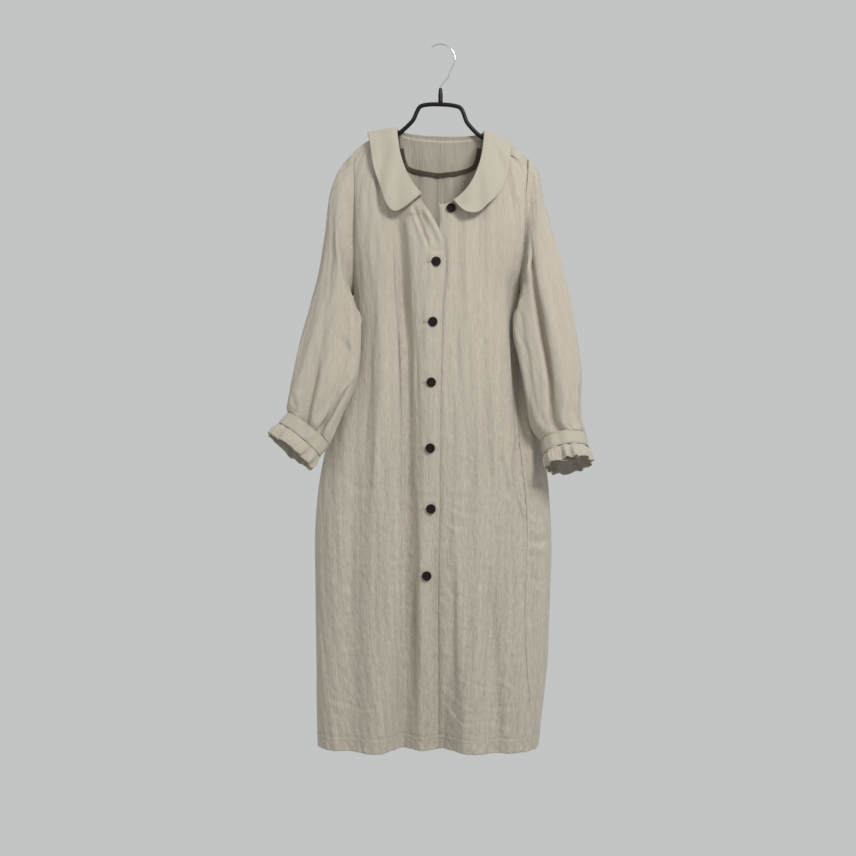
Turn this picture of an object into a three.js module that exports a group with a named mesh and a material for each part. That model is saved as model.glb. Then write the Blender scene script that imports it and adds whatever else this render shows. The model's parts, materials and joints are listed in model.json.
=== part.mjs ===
// A long button-through coat with a flat round collar, hanging on a plain hanger.
// Millimetres, +Z up, +X to the wearer's left, the front faces -Y.
// The origin is the inner top of the hanger's hook, where the hook rests on what holds it.
// Every cloth piece is a thin closed wall on one shared surface: the body of the coat is
// given by its widths and depths at a few heights, and each sleeve by its sections.

import * as THREE from 'three'

// Cloth and seams
const CLOTH = 1.2
const COLLAR_CLOTH = 2.2
const BAND_CLOTH = 1.9
const LAYER_GAP = 0.35
const SEAM_INSET = 0.5
const SHOULDER_INSET = 1
const TIP_INSET = 2.2
const ARMHOLE_INSET = 1.1

// A piece laid on a panel looks for the panel's cloth within this distance.
const LAID_REACH = 9

// Rows and columns of the panels' grids
const PANEL_COLUMNS = 15
const BACK_COLUMNS = 11
const YOKE_ROWS = 8
const SKIRT_ROWS = 12
const HEM_ROW = YOKE_ROWS + SKIRT_ROWS
const BACK_NECK_ROW = 6
const PASSES = 8

// Heights that the pieces share
const UNDERARM_Z = -480
const HEM_Z = -1338
const NECK_TOP_Z = -163
const SHOULDER_TIP_X = 168
const SHOULDER_TILT = 2
const SHOULDER_SLOPE = 0.48
const TIP_DROOP = 0.008
const DROOP_FROM = 130
const FRONT_NECK_DROP = 155
const BACK_NECK_DROP = 14
const NECK_HALF_WIDTH = 85
const ARM_HALF_DEPTH = 38
const SHOULDER_ROUND = 170
const SECTION_POWER = 0.77
const RIDGE_POWER = 0.6

// Half widths and depths of the body at each height.
// Above the underarm the half width is the place of the armhole seam.
const BODY = [
  { z: -150, right: 168, left: 168, front: 60, back: 40 },
  { z: -228, right: 168, left: 168, front: 62, back: 41 },
  { z: -300, right: 162, left: 161, front: 68, back: 44 },
  { z: -390, right: 162, left: 154, front: 74, back: 48 },
  { z: -480, right: 166, left: 149, front: 78, back: 52 },
  { z: -560, right: 168, left: 160, front: 82, back: 56 },
  { z: -650, right: 184, left: 174, front: 86, back: 59 },
  { z: -739, right: 209, left: 189, front: 88, back: 62 },
  { z: -815, right: 228, left: 202, front: 89, back: 64 },
  { z: -902, right: 238, left: 209, front: 90, back: 67 },
  { z: -1066, right: 239, left: 208, front: 90, back: 71 },
  { z: -1200, right: 237, left: 201, front: 94, back: 75 },
  { z: -1345, right: 234, left: 186, front: 98, back: 79 },
]

// Angle round the section, from centre front, at which the wearer's left side seam lies.
const LEFT_SEAM = [
  { z: -480, angle: 90 },
  { z: -600, angle: 64 },
  { z: -760, angle: 50 },
  { z: -900, angle: 48 },
  { z: -1140, angle: 48 },
  { z: -1340, angle: 64 },
]

// Front edges: the lapping right front, and the left front that lies under it.
const LAP_EDGE = [
  { z: -311, x: -36 },
  { z: -360, x: -6 },
  { z: -398, x: 8 },
  { z: -498, x: 4 },
  { z: -650, x: 0 },
  { z: -887, x: -3 },
  { z: -1054, x: -5 },
  { z: -1340, x: -4 },
]
const UNDER_EDGE = [
  { z: -305, x: -7 },
  { z: -350, x: -3 },
  { z: -398, x: -14 },
  { z: -440, x: -28 },
  { z: -650, x: -36 },
  { z: -900, x: -38 },
  { z: -1340, x: -38 },
]
const LAP_WIDTH = 80
const LAP_FADE = 25
const LAP_LIFT = 4.8

// Large folds of the body. x is the middle of the fold at its height, depth is how far the
// cloth goes in (a ridge comes out, so its depth is below zero), width is its half width.
const FRONT_FOLDS = [
  [
    { z: -200, x: -90, depth: 0, width: 14 },
    { z: -340, x: -86, depth: 10, width: 16 },
    { z: -500, x: -77, depth: 15, width: 17 },
    { z: -870, x: -62, depth: 14, width: 17 },
    { z: -1060, x: -60, depth: 20, width: 19 },
    { z: -1338, x: -80, depth: 62, width: 26 },
  ],
  [
    { z: -700, x: -14, depth: 0, width: 34 },
    { z: -1060, x: -10, depth: 16, width: 36 },
    { z: -1338, x: -2, depth: 56, width: 38 },
  ],
  [
    { z: -440, x: 138, depth: 0, width: 12 },
    { z: -520, x: 141, depth: 24, width: 14 },
    { z: -683, x: 147, depth: 30, width: 16 },
    { z: -800, x: 152, depth: 8, width: 14 },
    { z: -880, x: 156, depth: 0, width: 14 },
  ],
  [
    { z: -900, x: 92, depth: 0, width: 20 },
    { z: -1150, x: 98, depth: 9, width: 22 },
    { z: -1338, x: 96, depth: 16, width: 24 },
  ],
  [
    { z: -420, x: -134, depth: 0, width: 14 },
    { z: -700, x: -148, depth: 9, width: 18 },
    { z: -1000, x: -164, depth: 12, width: 22 },
    { z: -1338, x: -168, depth: 18, width: 26 },
  ],
]
const BACK_FOLDS = [
  [
    { z: -260, x: -66, depth: 0, width: 18 },
    { z: -800, x: -96, depth: 13, width: 22 },
    { z: -1338, x: -112, depth: 30, width: 28 },
  ],
  [
    { z: -280, x: 58, depth: 0, width: 18 },
    { z: -800, x: 84, depth: 14, width: 20 },
    { z: -1338, x: 104, depth: 34, width: 26 },
  ],
  [
    { z: -600, x: -6, depth: 0, width: 24 },
    { z: -1000, x: -10, depth: 14, width: 28 },
    { z: -1338, x: -14, depth: 32, width: 32 },
  ],
]

// The shoulder seam of the wearer's left side has slid forward of the ridge.
const SEAM_FORWARD = { right: 0, left: 24 }
const SEAM_RAMP = { neck: 30, tip: 12 }

// Sleeve sections, from the armhole to the cuff. The inner point is under the arm, the outer
// one on top of it, depth is the half depth, and lean tips the front of the section upwards.
const SLEEVE_RIGHT = [
  { inX: -172, inZ: -483, inY: -3, outX: -183, outZ: -226, outY: 0, depth: 39, lean: 0 },
  { inX: -174, inZ: -486, inY: -10, outX: -197, outZ: -248, outY: -4, depth: 39, lean: 0 },
  { inX: -173, inZ: -491, inY: -20, outX: -210, outZ: -284, outY: -8, depth: 37, lean: 2 },
  { inX: -168, inZ: -499, inY: -32, outX: -216, outZ: -329, outY: -14, depth: 35, lean: 4 },
  { inX: -161, inZ: -509, inY: -42, outX: -221, outZ: -383, outY: -20, depth: 33, lean: 6 },
  { inX: -154, inZ: -522, inY: -50, outX: -232, outZ: -449, outY: -30, depth: 31, lean: 8 },
  { inX: -151, inZ: -545, inY: -55, outX: -246, outZ: -505, outY: -38, depth: 30, lean: 8 },
  { inX: -151, inZ: -575, inY: -59, outX: -259, outZ: -560, outY: -46, depth: 30, lean: 8 },
  { inX: -151, inZ: -605, inY: -62, outX: -271, outZ: -611, outY: -53, depth: 31, lean: 8 },
  { inX: -156, inZ: -640, inY: -66, outX: -280, outZ: -655, outY: -60, depth: 32, lean: 10 },
  { inX: -168, inZ: -676, inY: -70, outX: -286, outZ: -684, outY: -66, depth: 31, lean: 14 },
  { inX: -189, inZ: -722, inY: -74, outX: -286, outZ: -700, outY: -70, depth: 27, lean: 18 },
  { inX: -208, inZ: -768, inY: -76, outX: -283, outZ: -707, outY: -72, depth: 23, lean: 21 },
]
const SLEEVE_LEFT = [
  { inX: 155, inZ: -483, inY: -3, outX: 182, outZ: -224, outY: 0, depth: 39, lean: 0 },
  { inX: 158, inZ: -486, inY: -10, outX: 188, outZ: -240, outY: -4, depth: 39, lean: 0 },
  { inX: 157, inZ: -491, inY: -22, outX: 191, outZ: -267, outY: -8, depth: 37, lean: 2 },
  { inX: 152, inZ: -498, inY: -34, outX: 197, outZ: -302, outY: -14, depth: 35, lean: 4 },
  { inX: 146, inZ: -507, inY: -42, outX: 207, outZ: -343, outY: -20, depth: 33, lean: 6 },
  { inX: 139, inZ: -520, inY: -48, outX: 224, outZ: -407, outY: -28, depth: 31, lean: 8 },
  { inX: 136, inZ: -541, inY: -53, outX: 240, outZ: -474, outY: -36, depth: 30, lean: 8 },
  { inX: 138, inZ: -572, inY: -56, outX: 252, outZ: -539, outY: -44, depth: 30, lean: 8 },
  { inX: 145, inZ: -604, inY: -59, outX: 260, outZ: -594, outY: -50, depth: 31, lean: 8 },
  { inX: 154, inZ: -649, inY: -62, outX: 264, outZ: -646, outY: -56, depth: 32, lean: 10 },
  { inX: 161, inZ: -694, inY: -66, outX: 262, outZ: -684, outY: -62, depth: 32, lean: 14 },
  { inX: 168, inZ: -732, inY: -70, outX: 262, outZ: -722, outY: -67, depth: 32, lean: 22 },
  { inX: 187, inZ: -760, inY: -73, outX: 269, outZ: -749, outY: -71, depth: 33, lean: 29 },
]

// Folds of the sleeves: turn is the place round the sleeve in degrees, from the outer edge
// (0) by the front (90) to the inner edge (180); from and to are shares of its length.
const SLEEVE_FOLDS = {
  right: [
    { turn: 70, width: 16, depth: 9, from: 0.5, to: 1.0 },
    { turn: 122, width: 14, depth: 10, from: 0.42, to: 0.86 },
    { turn: 235, width: 22, depth: 10, from: 0.45, to: 1.0 },
    { turn: 300, width: 20, depth: 9, from: 0.55, to: 1.0 },
  ],
  left: [
    { turn: 98, width: 15, depth: 15, from: 0.28, to: 1.0 },
    { turn: 28, width: 12, depth: 9, from: 0.74, to: 1.0 },
    { turn: 240, width: 22, depth: 10, from: 0.45, to: 1.0 },
    { turn: 305, width: 20, depth: 9, from: 0.55, to: 1.0 },
  ],
}
const SLEEVE_STEPS = 22

// Cuffs
const CUFF_BAND = 28
const BAND_FLARE = 0.5
const BAND_GAP = 0.4
const FRILL_GAP = 1.3
const FRILL_DROP = 27
const FRILL_WAVES = 13
const FRILL_WAVE_DEPTH = 3.2
const FRILL_FLARE = 3

// Collar. Its run is the length of neckline for one radian of turn round the neck.
const COLLAR_WIDTH = 49
const COLLAR_BACK_WIDTH = 54
const COLLAR_OVERHANG = 3
const COLLAR_END_ROUND = 44
const COLLAR_RUN = 125
const COLLAR_ROLL = 3
const COLLAR_START = { right: 24, left: 14 }
const COLLAR_LIFT = { front: 15, back: 3 }
const COLLAR_FRONT_STEPS = 16
const COLLAR_BACK_STEPS = 10
const COLLAR_CLEAR = 1.5

// Lower edge of the facing inside the back neck, from the centre to the side of the neck.
const FACING_EDGE = [
  { x: 0, z: -246 },
  { x: 32, z: -242.5 },
  { x: 56, z: -236.5 },
  { x: 67, z: -231 },
  { x: 73, z: -218 },
  { x: 77, z: -198 },
  { x: 80, z: -181 },
]
const BINDING_WIDTH = 8
const FACING_CLOTH = 1.0
const FACING_CLEAR = 1.25
const FACING_REACH = 0.86

// Hem and pockets
const HEM_BAND = 27
const HEM_CLEAR_X = -44
const POCKET = { top: -752, bottom: -1000, turn: 30, inside: 3.2, cloth: 2.4 }
const MOUTH = { top: -745, bottom: -915, turn: 9 }

// Buttons, at their places down the front
const BUTTON_RADIUS = 8.8
const BUTTON_THICKNESS = 3
const BUTTON_CLEAR = 0.5
const BUTTON_HOLE = 1
const BUTTON_HOLE_OFFSET = 2.1
const BUTTONS = [
  { x: 19, z: -326 },
  { x: -9, z: -427 },
  { x: -15, z: -539 },
  { x: -18, z: -651 },
  { x: -20, z: -772 },
  { x: -19, z: -884 },
  { x: -27, z: -1008 },
]

// Hanger
const WIRE_RADIUS = 1.75
const HANGER_RADIUS = 4
const HANGER_PATH = [
  { x: 0, z: -114 },
  { x: 22, z: -115 },
  { x: 38, z: -119 },
  { x: 44, z: -128 },
  { x: 51, z: -145 },
  { x: 62, z: -158 },
  { x: 75, z: -169.8 },
  { x: 87, z: -176 },
  { x: 108, z: -184.8 },
  { x: 130, z: -195.5 },
  { x: 142, z: -203.5 },
  { x: 152, z: -212.5 },
]
const HOOK_RADIUS = 27.5
const HOOK_STEM = [[18.5, -50], [15.5, -60], [9, -69], [2.5, -76], [0, -82], [0, -94], [0, -108]]
const NECK_LENGTH = 27
const NECK_TOP = -83

const CLOTH_COLOUR = '#b4ab98'
const RAD = Math.PI / 180

const clamp = (value) => Math.min(1, Math.max(0, value))
const mix = (a, b, share) => a + (b - a) * share
const smooth = (share) => share * share * (3 - 2 * share)

// Reads a named column of a table at a height, between its rows, with smooth slopes.
function read(table, key, column, at) {
  const rising = table[table.length - 1][key] > table[0][key]
  const inside = (row) => (rising ? table[row][key] <= at : table[row][key] >= at)
  let row = 0
  while (row < table.length - 2 && inside(row + 1)) row += 1
  const slope = (a, b) => (table[b][column] - table[a][column]) / (table[b][key] - table[a][key])
  const span = table[row + 1][key] - table[row][key]
  const here = slope(row, row + 1)
  const before = row > 0 ? (slope(row - 1, row) + here) / 2 : here
  const after = row < table.length - 2 ? (slope(row + 1, row + 2) + here) / 2 : here
  const t = clamp((at - table[row][key]) / span)
  const a = table[row][column]
  const b = table[row + 1][column]
  return (2 * t ** 3 - 3 * t ** 2 + 1) * a + (t ** 3 - 2 * t ** 2 + t) * span * before +
    (3 * t ** 2 - 2 * t ** 3) * b + (t ** 3 - t ** 2) * span * after
}

const sideName = (side) => (side < 0 ? 'right' : 'left')
const halfWidth = (side, z) => read(BODY, 'z', sideName(side), z)

// Height of the shoulder ridge, level inside the neck and drooping towards its tip.
function ridgeHeight(x) {
  const out = Math.max(0, Math.abs(x) - NECK_HALF_WIDTH)
  const droop = Math.max(0, Math.abs(x) - DROOP_FROM)
  const tilt = x * Math.tan(SHOULDER_TILT * RAD)
  return NECK_TOP_Z - SHOULDER_SLOPE * out - TIP_DROOP * droop ** 2 - tilt
}

const shoulderTip = (side) => ridgeHeight(side * SHOULDER_TIP_X)

// Half depth of the armhole at a height: a half ellipse from shoulder tip to underarm.
function armholeDepth(side, z) {
  const middle = (shoulderTip(side) + UNDERARM_Z) / 2
  const half = (shoulderTip(side) - UNDERARM_Z) / 2
  return ARM_HALF_DEPTH * Math.sqrt(Math.max(0, 1 - ((z - middle) / half) ** 2))
}

// How far the cloth is pushed in by the folds at a place.
function foldDepth(folds, x, z) {
  let sum = 0
  for (const fold of folds) {
    if (z > fold[0].z) continue
    const middle = read(fold, 'z', 'x', z)
    const width = read(fold, 'z', 'width', z)
    sum += read(fold, 'z', 'depth', z) * Math.exp(-(((x - middle) / width) ** 2))
  }
  return sum
}

// A point of the body's surface. angle goes round one side of the section from centre
// front (0) by the side (90) to centre back (180).
function bodyPoint(side, angle, z) {
  const width = halfWidth(side, z)
  const turn = angle * RAD
  const x = side * width * Math.sin(turn) ** SECTION_POWER
  const isFront = angle <= 90
  const depth = read(BODY, 'z', isFront ? 'front' : 'back', z)
  const share = Math.abs(Math.cos(turn)) ** SECTION_POWER
  const arm = armholeDepth(side, z)
  const drop = clamp((ridgeHeight(x) - z) / SHOULDER_ROUND)
  const round = Math.sin(drop * Math.PI / 2) ** RIDGE_POWER
  let y = arm + (depth - arm) * share * round
  const fade = Math.min(1, share * 2.2)
  y -= foldDepth(isFront ? FRONT_FOLDS : BACK_FOLDS, x, z) * fade
  return new THREE.Vector3(x, isFront ? -y : y, z)
}

// The angle at which the section passes a given x, on the front or the back.
function angleAt(side, x, z, isFront) {
  const share = clamp(side * x / halfWidth(side, z))
  const angle = Math.asin(share ** (1 / SECTION_POWER)) / RAD
  return isFront ? angle : Math.max(90.01, 180 - angle)
}

// The same surface by x, on the front or back, also a little past the centre line.
function bodyAt(x, z, isFront) {
  const side = x < 0 ? -1 : 1
  return bodyPoint(side, angleAt(side, x, z, isFront), z)
}

// The direction that points straight out of the body's front at a place.
function bodySquare(x, z) {
  const step = 6
  const across = bodyAt(x + step, z, true).sub(bodyAt(x - step, z, true))
  const down = bodyAt(x, z - step, true).sub(bodyAt(x, z + step, true))
  return down.cross(across).normalize()
}

// The direction square to the cloth at a point of a grid, lengthened at folds so that a
// wall keeps its thickness across each of the facets that meet there.
function squareTo(rows, i, j, wrap) {
  const tall = rows.length
  const wide = rows[0].length
  const at = (row, place) => rows[row][wrap ? (place + wide) % wide : place]
  const facets = []
  for (const [up, left] of [[-1, -1], [-1, 0], [0, -1], [0, 0]]) {
    const row = i + up
    const place = j + left
    if (row < 0 || row > tall - 2) continue
    if (!wrap && (place < 0 || place > wide - 2)) continue
    const one = at(row + 1, place + 1).clone().sub(at(row, place))
    const two = at(row + 1, place).clone().sub(at(row, place + 1))
    facets.push(one.cross(two).normalize())
  }
  const normal = new THREE.Vector3()
  facets.forEach((facet) => normal.add(facet))
  normal.normalize()
  const least = Math.min(...facets.map((facet) => facet.dot(normal)))
  return normal.multiplyScalar(1 / Math.max(0.6, least))
}

// Moves every point of a grid out along the cloth's own direction there.
function moved(rows, distance, wrap = false) {
  return rows.map((row, i) => row.map((point, j) => (
    point.clone().addScaledVector(squareTo(rows, i, j, wrap), distance)
  )))
}

// Turns a grid of middle points into a closed wall. rows[i][j]; wrap joins j's two ends.
function wall(rows, thickness, wrap = false) {
  const tall = rows.length
  const wide = rows[0].length
  const positions = []
  for (const sign of [1, -1]) {
    for (const row of moved(rows, sign * thickness / 2, wrap)) {
      for (const point of row) positions.push(point.x, point.y, point.z)
    }
  }
  const skin = tall * wide
  const last = wrap ? wide : wide - 1
  const index = []
  const quad = (a, b, c, d) => index.push(a, b, c, a, c, d)
  for (let i = 0; i < tall - 1; i += 1) {
    for (let j = 0; j < last; j += 1) {
      const k = (j + 1) % wide
      const [a, b, c, d] = [i * wide + j, i * wide + k, (i + 1) * wide + k, (i + 1) * wide + j]
      quad(a, b, c, d)
      quad(skin + a, skin + d, skin + c, skin + b)
    }
  }
  const rim = (a, b) => quad(b, a, skin + a, skin + b)
  for (let j = 0; j < last; j += 1) {
    const k = (j + 1) % wide
    rim(j, k)
    rim((tall - 1) * wide + k, (tall - 1) * wide + j)
  }
  if (!wrap) {
    for (let i = 0; i < tall - 1; i += 1) {
      rim((i + 1) * wide, i * wide)
      rim(i * wide + wide - 1, (i + 1) * wide + wide - 1)
    }
  }
  const geometry = new THREE.BufferGeometry()
  geometry.setAttribute('position', new THREE.Float32BufferAttribute(positions, 3))
  geometry.setIndex(index)
  return facingOut(geometry)
}

// Signed volume tells which way the faces point; a wall that came out inside out is turned.
function facingOut(geometry) {
  const p = geometry.attributes.position
  const index = geometry.index.array
  const [a, b, c] = [new THREE.Vector3(), new THREE.Vector3(), new THREE.Vector3()]
  let volume = 0
  for (let i = 0; i < index.length; i += 3) {
    a.fromBufferAttribute(p, index[i])
    b.fromBufferAttribute(p, index[i + 1])
    c.fromBufferAttribute(p, index[i + 2])
    volume += a.dot(b.cross(c))
  }
  if (volume < 0) {
    const turned = Array.from(index)
    for (let i = 0; i < turned.length; i += 3) {
      [turned[i + 1], turned[i + 2]] = [turned[i + 2], turned[i + 1]]
    }
    geometry.setIndex(turned)
  }
  return geometry
}

// Draws the grid's edges in a little, which leaves the seam gap to the next piece.
function drawIn(rows, gaps) {
  const shift = (edge, next, gap) => {
    const step = next.clone().sub(edge)
    edge.addScaledVector(step.normalize(), gap)
  }
  const tall = rows.length
  const wide = rows[0].length
  for (let j = 0; j < wide; j += 1) {
    const top = j > wide - 4 && gaps.tip ? gaps.tip : gaps.top
    if (top) shift(rows[0][j], rows[1][j], top)
    if (gaps.bottom) shift(rows[tall - 1][j], rows[tall - 2][j], gaps.bottom)
  }
  for (let i = 0; i < tall; i += 1) {
    const start = typeof gaps.start === 'function' ? gaps.start(i) : gaps.start
    const end = typeof gaps.end === 'function' ? gaps.end(i) : gaps.end
    if (start) shift(rows[i][0], rows[i][1], start)
    if (end) shift(rows[i][wide - 1], rows[i][wide - 2], end)
  }
  return rows
}

const seamAngle = (side, z) => (side < 0 ? 90 : read(LEFT_SEAM, 'z', 'angle', Math.min(-480, z)))
const neckCurve = (x) => Math.sqrt(Math.max(0, 1 - (x / NECK_HALF_WIDTH) ** 2))
const frontNeckZ = (x) => ridgeHeight(x) - FRONT_NECK_DROP * neckCurve(x)
const backNeckZ = (x) => ridgeHeight(x) - BACK_NECK_DROP * neckCurve(x)

// Height of a front panel's upper edge: the neckline, then the shoulder seam.
function frontTop(side, x) {
  const out = Math.abs(x)
  if (out < NECK_HALF_WIDTH) return frontNeckZ(x)
  return ridgeHeight(x) - SEAM_FORWARD[sideName(side)] * seamShare(x)
}

// Share of its full shift that the shoulder seam has at x: none at the neck and at the tip.
function seamShare(x) {
  const out = Math.abs(x)
  const fromNeck = smooth(clamp((out - NECK_HALF_WIDTH) / SEAM_RAMP.neck))
  return fromNeck * clamp((SHOULDER_TIP_X - out) / SEAM_RAMP.tip)
}

// Heights of a column's rows: the yoke down to the underarm, then the skirt to the hem.
function columnHeight(top, row) {
  if (row <= YOKE_ROWS) return mix(top, UNDERARM_Z, yokeShare(row))
  if (row > HEM_ROW) return HEM_Z
  return mix(UNDERARM_Z, HEM_Z + HEM_BAND, (row - YOKE_ROWS) / SKIRT_ROWS)
}

// The yoke's rows lie closer together towards the rounded shoulder.
function yokeShare(row) {
  return (row / YOKE_ROWS) ** 1.6
}

// One front panel's middle points. side is -1 for the wearer's right, 1 for the left.
function frontGrid(side) {
  const edge = side < 0 ? LAP_EDGE : UNDER_EDGE
  const rows = []
  for (let i = 0; i <= HEM_ROW + 1; i += 1) {
    const row = []
    for (let j = 0; j <= PANEL_COLUMNS; j += 1) {
      const share = j / PANEL_COLUMNS
      let z = columnHeight(NECK_TOP_Z - FRONT_NECK_DROP, i)
      let x = 0
      for (let pass = 0; pass < PASSES; pass += 1) {
        const start = read(edge, 'z', 'x', z)
        const reach = bodyPoint(side, seamAngle(side, z) - mouthTurn(side, z), z).x
        const arc = Math.sin(share * Math.PI / 2)
        x = mix(start, reach, mix(share, arc, 0.6))
        z = columnHeight(frontTop(side, x), i)
      }
      const point = bodyAt(x, z, true)
      if (side < 0) point.y -= lapLift(x, z)
      row.push(point)
    }
    rows.push(row)
  }
  return drawIn(rows, {
    top: SHOULDER_INSET,
    tip: TIP_INSET,
    end: (i) => (i < YOKE_ROWS ? ARMHOLE_INSET : SEAM_INSET),
  })
}

// The wearer's left front stands away from its side seam at the pocket's mouth.
function mouthTurn(side, z) {
  if (side < 0) return 0
  const share = clamp((MOUTH.top - z) / (MOUTH.top - MOUTH.bottom))
  return MOUTH.turn * Math.sin(share * Math.PI) ** 0.7
}

// The lapping front stands clear of the one beneath along the overlap.
function lapLift(x, z) {
  const from = Math.abs(x - read(LAP_EDGE, 'z', 'x', z))
  return x < LAP_WIDTH / 2 ? LAP_LIFT * smooth(clamp((LAP_WIDTH - from) / LAP_FADE)) : 0
}

// One back panel's middle points, from the centre-back seam to the side seam.
function backGrid(side) {
  const rows = []
  for (let i = 0; i <= HEM_ROW + 1; i += 1) {
    const row = []
    for (let j = 0; j <= BACK_COLUMNS; j += 1) {
      const share = j / BACK_COLUMNS
      row.push(backPoint(side, share, i))
    }
    rows.push(row)
  }
  return drawIn(rows, {
    top: SHOULDER_INSET,
    tip: TIP_INSET,
    start: SEAM_INSET,
    end: (i) => (i < YOKE_ROWS ? ARMHOLE_INSET : SEAM_INSET),
  })
}

// Above the underarm a column starts at the neckline or at the shoulder seam, goes over the
// ridge in its second row, and then down the back.
function backPoint(side, share, row) {
  if (row >= YOKE_ROWS) {
    const z = columnHeight(UNDERARM_Z, row)
    return bodyPoint(side, mix(180, seamAngle(side, z), share ** 0.9), z)
  }
  const arc = mix(share, Math.sin(share * Math.PI / 2), 0.5)
  const rowShare = Math.max(0, (row - 1) / (YOKE_ROWS - 1)) ** 1.5
  let z = NECK_TOP_Z
  let x = 0
  let isFront = false
  for (let pass = 0; pass < PASSES; pass += 1) {
    x = side * halfWidth(side, z) * arc
    const isNeck = Math.abs(x) < NECK_HALF_WIDTH
    const top = isNeck ? backNeckZ(x) : ridgeHeight(x)
    const ramp = seamShare(x)
    const first = SEAM_FORWARD[sideName(side)] > 0 ? mix(BACK_NECK_ROW, 0, ramp) : BACK_NECK_ROW
    isFront = row === 0 && ramp > 0 && first < BACK_NECK_ROW
    const down = row === 0 ? SEAM_FORWARD[sideName(side)] * ramp
      : mix(first, top - UNDERARM_Z, rowShare)
    z = top - down
  }
  return bodyAt(x, z, isFront)
}

// The armhole ring and the sleeve's sections, as rows of points round the arm.
function sleeveGrid(side) {
  const table = side < 0 ? SLEEVE_RIGHT : SLEEVE_LEFT
  const folds = SLEEVE_FOLDS[sideName(side)]
  const rows = [armholeRing(side)]
  table.forEach((section, i) => {
    rows.push(sectionRing(section, folds, (i + 1) / table.length, side))
  })
  return drawIn(rows, { top: ARMHOLE_INSET, bottom: SEAM_INSET })
}

function armholeRing(side) {
  const ring = []
  const middle = (shoulderTip(side) + UNDERARM_Z) / 2
  const half = (shoulderTip(side) - UNDERARM_Z) / 2
  for (let j = 0; j < SLEEVE_STEPS; j += 1) {
    const turn = j / SLEEVE_STEPS * 360 * RAD
    const z = middle + half * Math.cos(turn)
    const y = -ARM_HALF_DEPTH * Math.sin(turn)
    ring.push(new THREE.Vector3(side * halfWidth(side, z), y, z))
  }
  return ring
}

function sectionFrame(section) {
  const inner = new THREE.Vector3(section.inX, section.inY, section.inZ)
  const outer = new THREE.Vector3(section.outX, section.outY, section.outZ)
  const across = outer.clone().sub(inner)
  const half = across.length() / 2
  across.normalize()
  const flat = new THREE.Vector3(across.x, 0, across.z).normalize()
  const up = new THREE.Vector3(-flat.z, 0, flat.x)
  if (up.z < 0) up.negate()
  const lean = section.lean * RAD
  const front = new THREE.Vector3(0, -Math.cos(lean), 0).addScaledVector(up, Math.sin(lean))
  return { centre: inner.add(outer).multiplyScalar(0.5), across, front, half }
}

function sectionRing(section, folds, share) {
  const { centre, across, front, half } = sectionFrame(section)
  const ring = []
  for (let j = 0; j < SLEEVE_STEPS; j += 1) {
    const degrees = j / SLEEVE_STEPS * 360
    const turn = degrees * RAD
    let pull = 0
    for (const fold of folds) {
      const near = Math.exp(-(((degrees - fold.turn) / fold.width) ** 2))
      const grow = smooth(clamp((share - fold.from) / (fold.to - fold.from) * 1.6))
      pull += fold.depth * near * grow
    }
    const depth = section.depth * Math.sin(turn)
    const point = centre.clone()
      .addScaledVector(across, (half - pull * 0.4 * Math.abs(Math.cos(turn))) * Math.cos(turn))
      .addScaledVector(front, depth - pull * Math.sign(Math.sin(turn)) * Math.abs(Math.sin(turn)))
    ring.push(point)
  }
  return ring
}

// The band and frill carry on from the sleeve's last section, towards the hand.
function cuffRing(side, drop, flare, waves = 0, steps = SLEEVE_STEPS) {
  const table = side < 0 ? SLEEVE_RIGHT : SLEEVE_LEFT
  const section = table[table.length - 1]
  const { centre, across, front, half } = sectionFrame(section)
  const hand = across.clone().cross(front).normalize()
  if (hand.z > 0) hand.negate()
  const ring = []
  for (let j = 0; j < steps; j += 1) {
    const turn = j / steps * 360 * RAD
    const wave = waves * Math.sin(turn * FRILL_WAVES) * (1 + 0.35 * Math.sin(turn * 3 + side))
    const grow = flare + wave
    ring.push(centre.clone()
      .addScaledVector(across, (half + grow) * Math.cos(turn))
      .addScaledVector(front, (section.depth + grow) * Math.sin(turn))
      .addScaledVector(hand, drop + 0.5 * wave))
  }
  return ring
}

function cuffBand(side) {
  const rows = [0, 1].map((share) => cuffRing(side, BAND_GAP + share * CUFF_BAND, BAND_FLARE))
  return wall(rows, BAND_CLOTH, true)
}

function cuffFrill(side) {
  const steps = FRILL_WAVES * 5
  const top = CUFF_BAND + FRILL_GAP
  const rows = [0, 0.5, 1].map((share) => cuffRing(
    side,
    top + share * FRILL_DROP,
    FRILL_FLARE * share - BAND_FLARE,
    FRILL_WAVE_DEPTH * Math.min(1, 0.25 + share),
    steps,
  ))
  return wall(rows, CLOTH, true)
}

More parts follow.
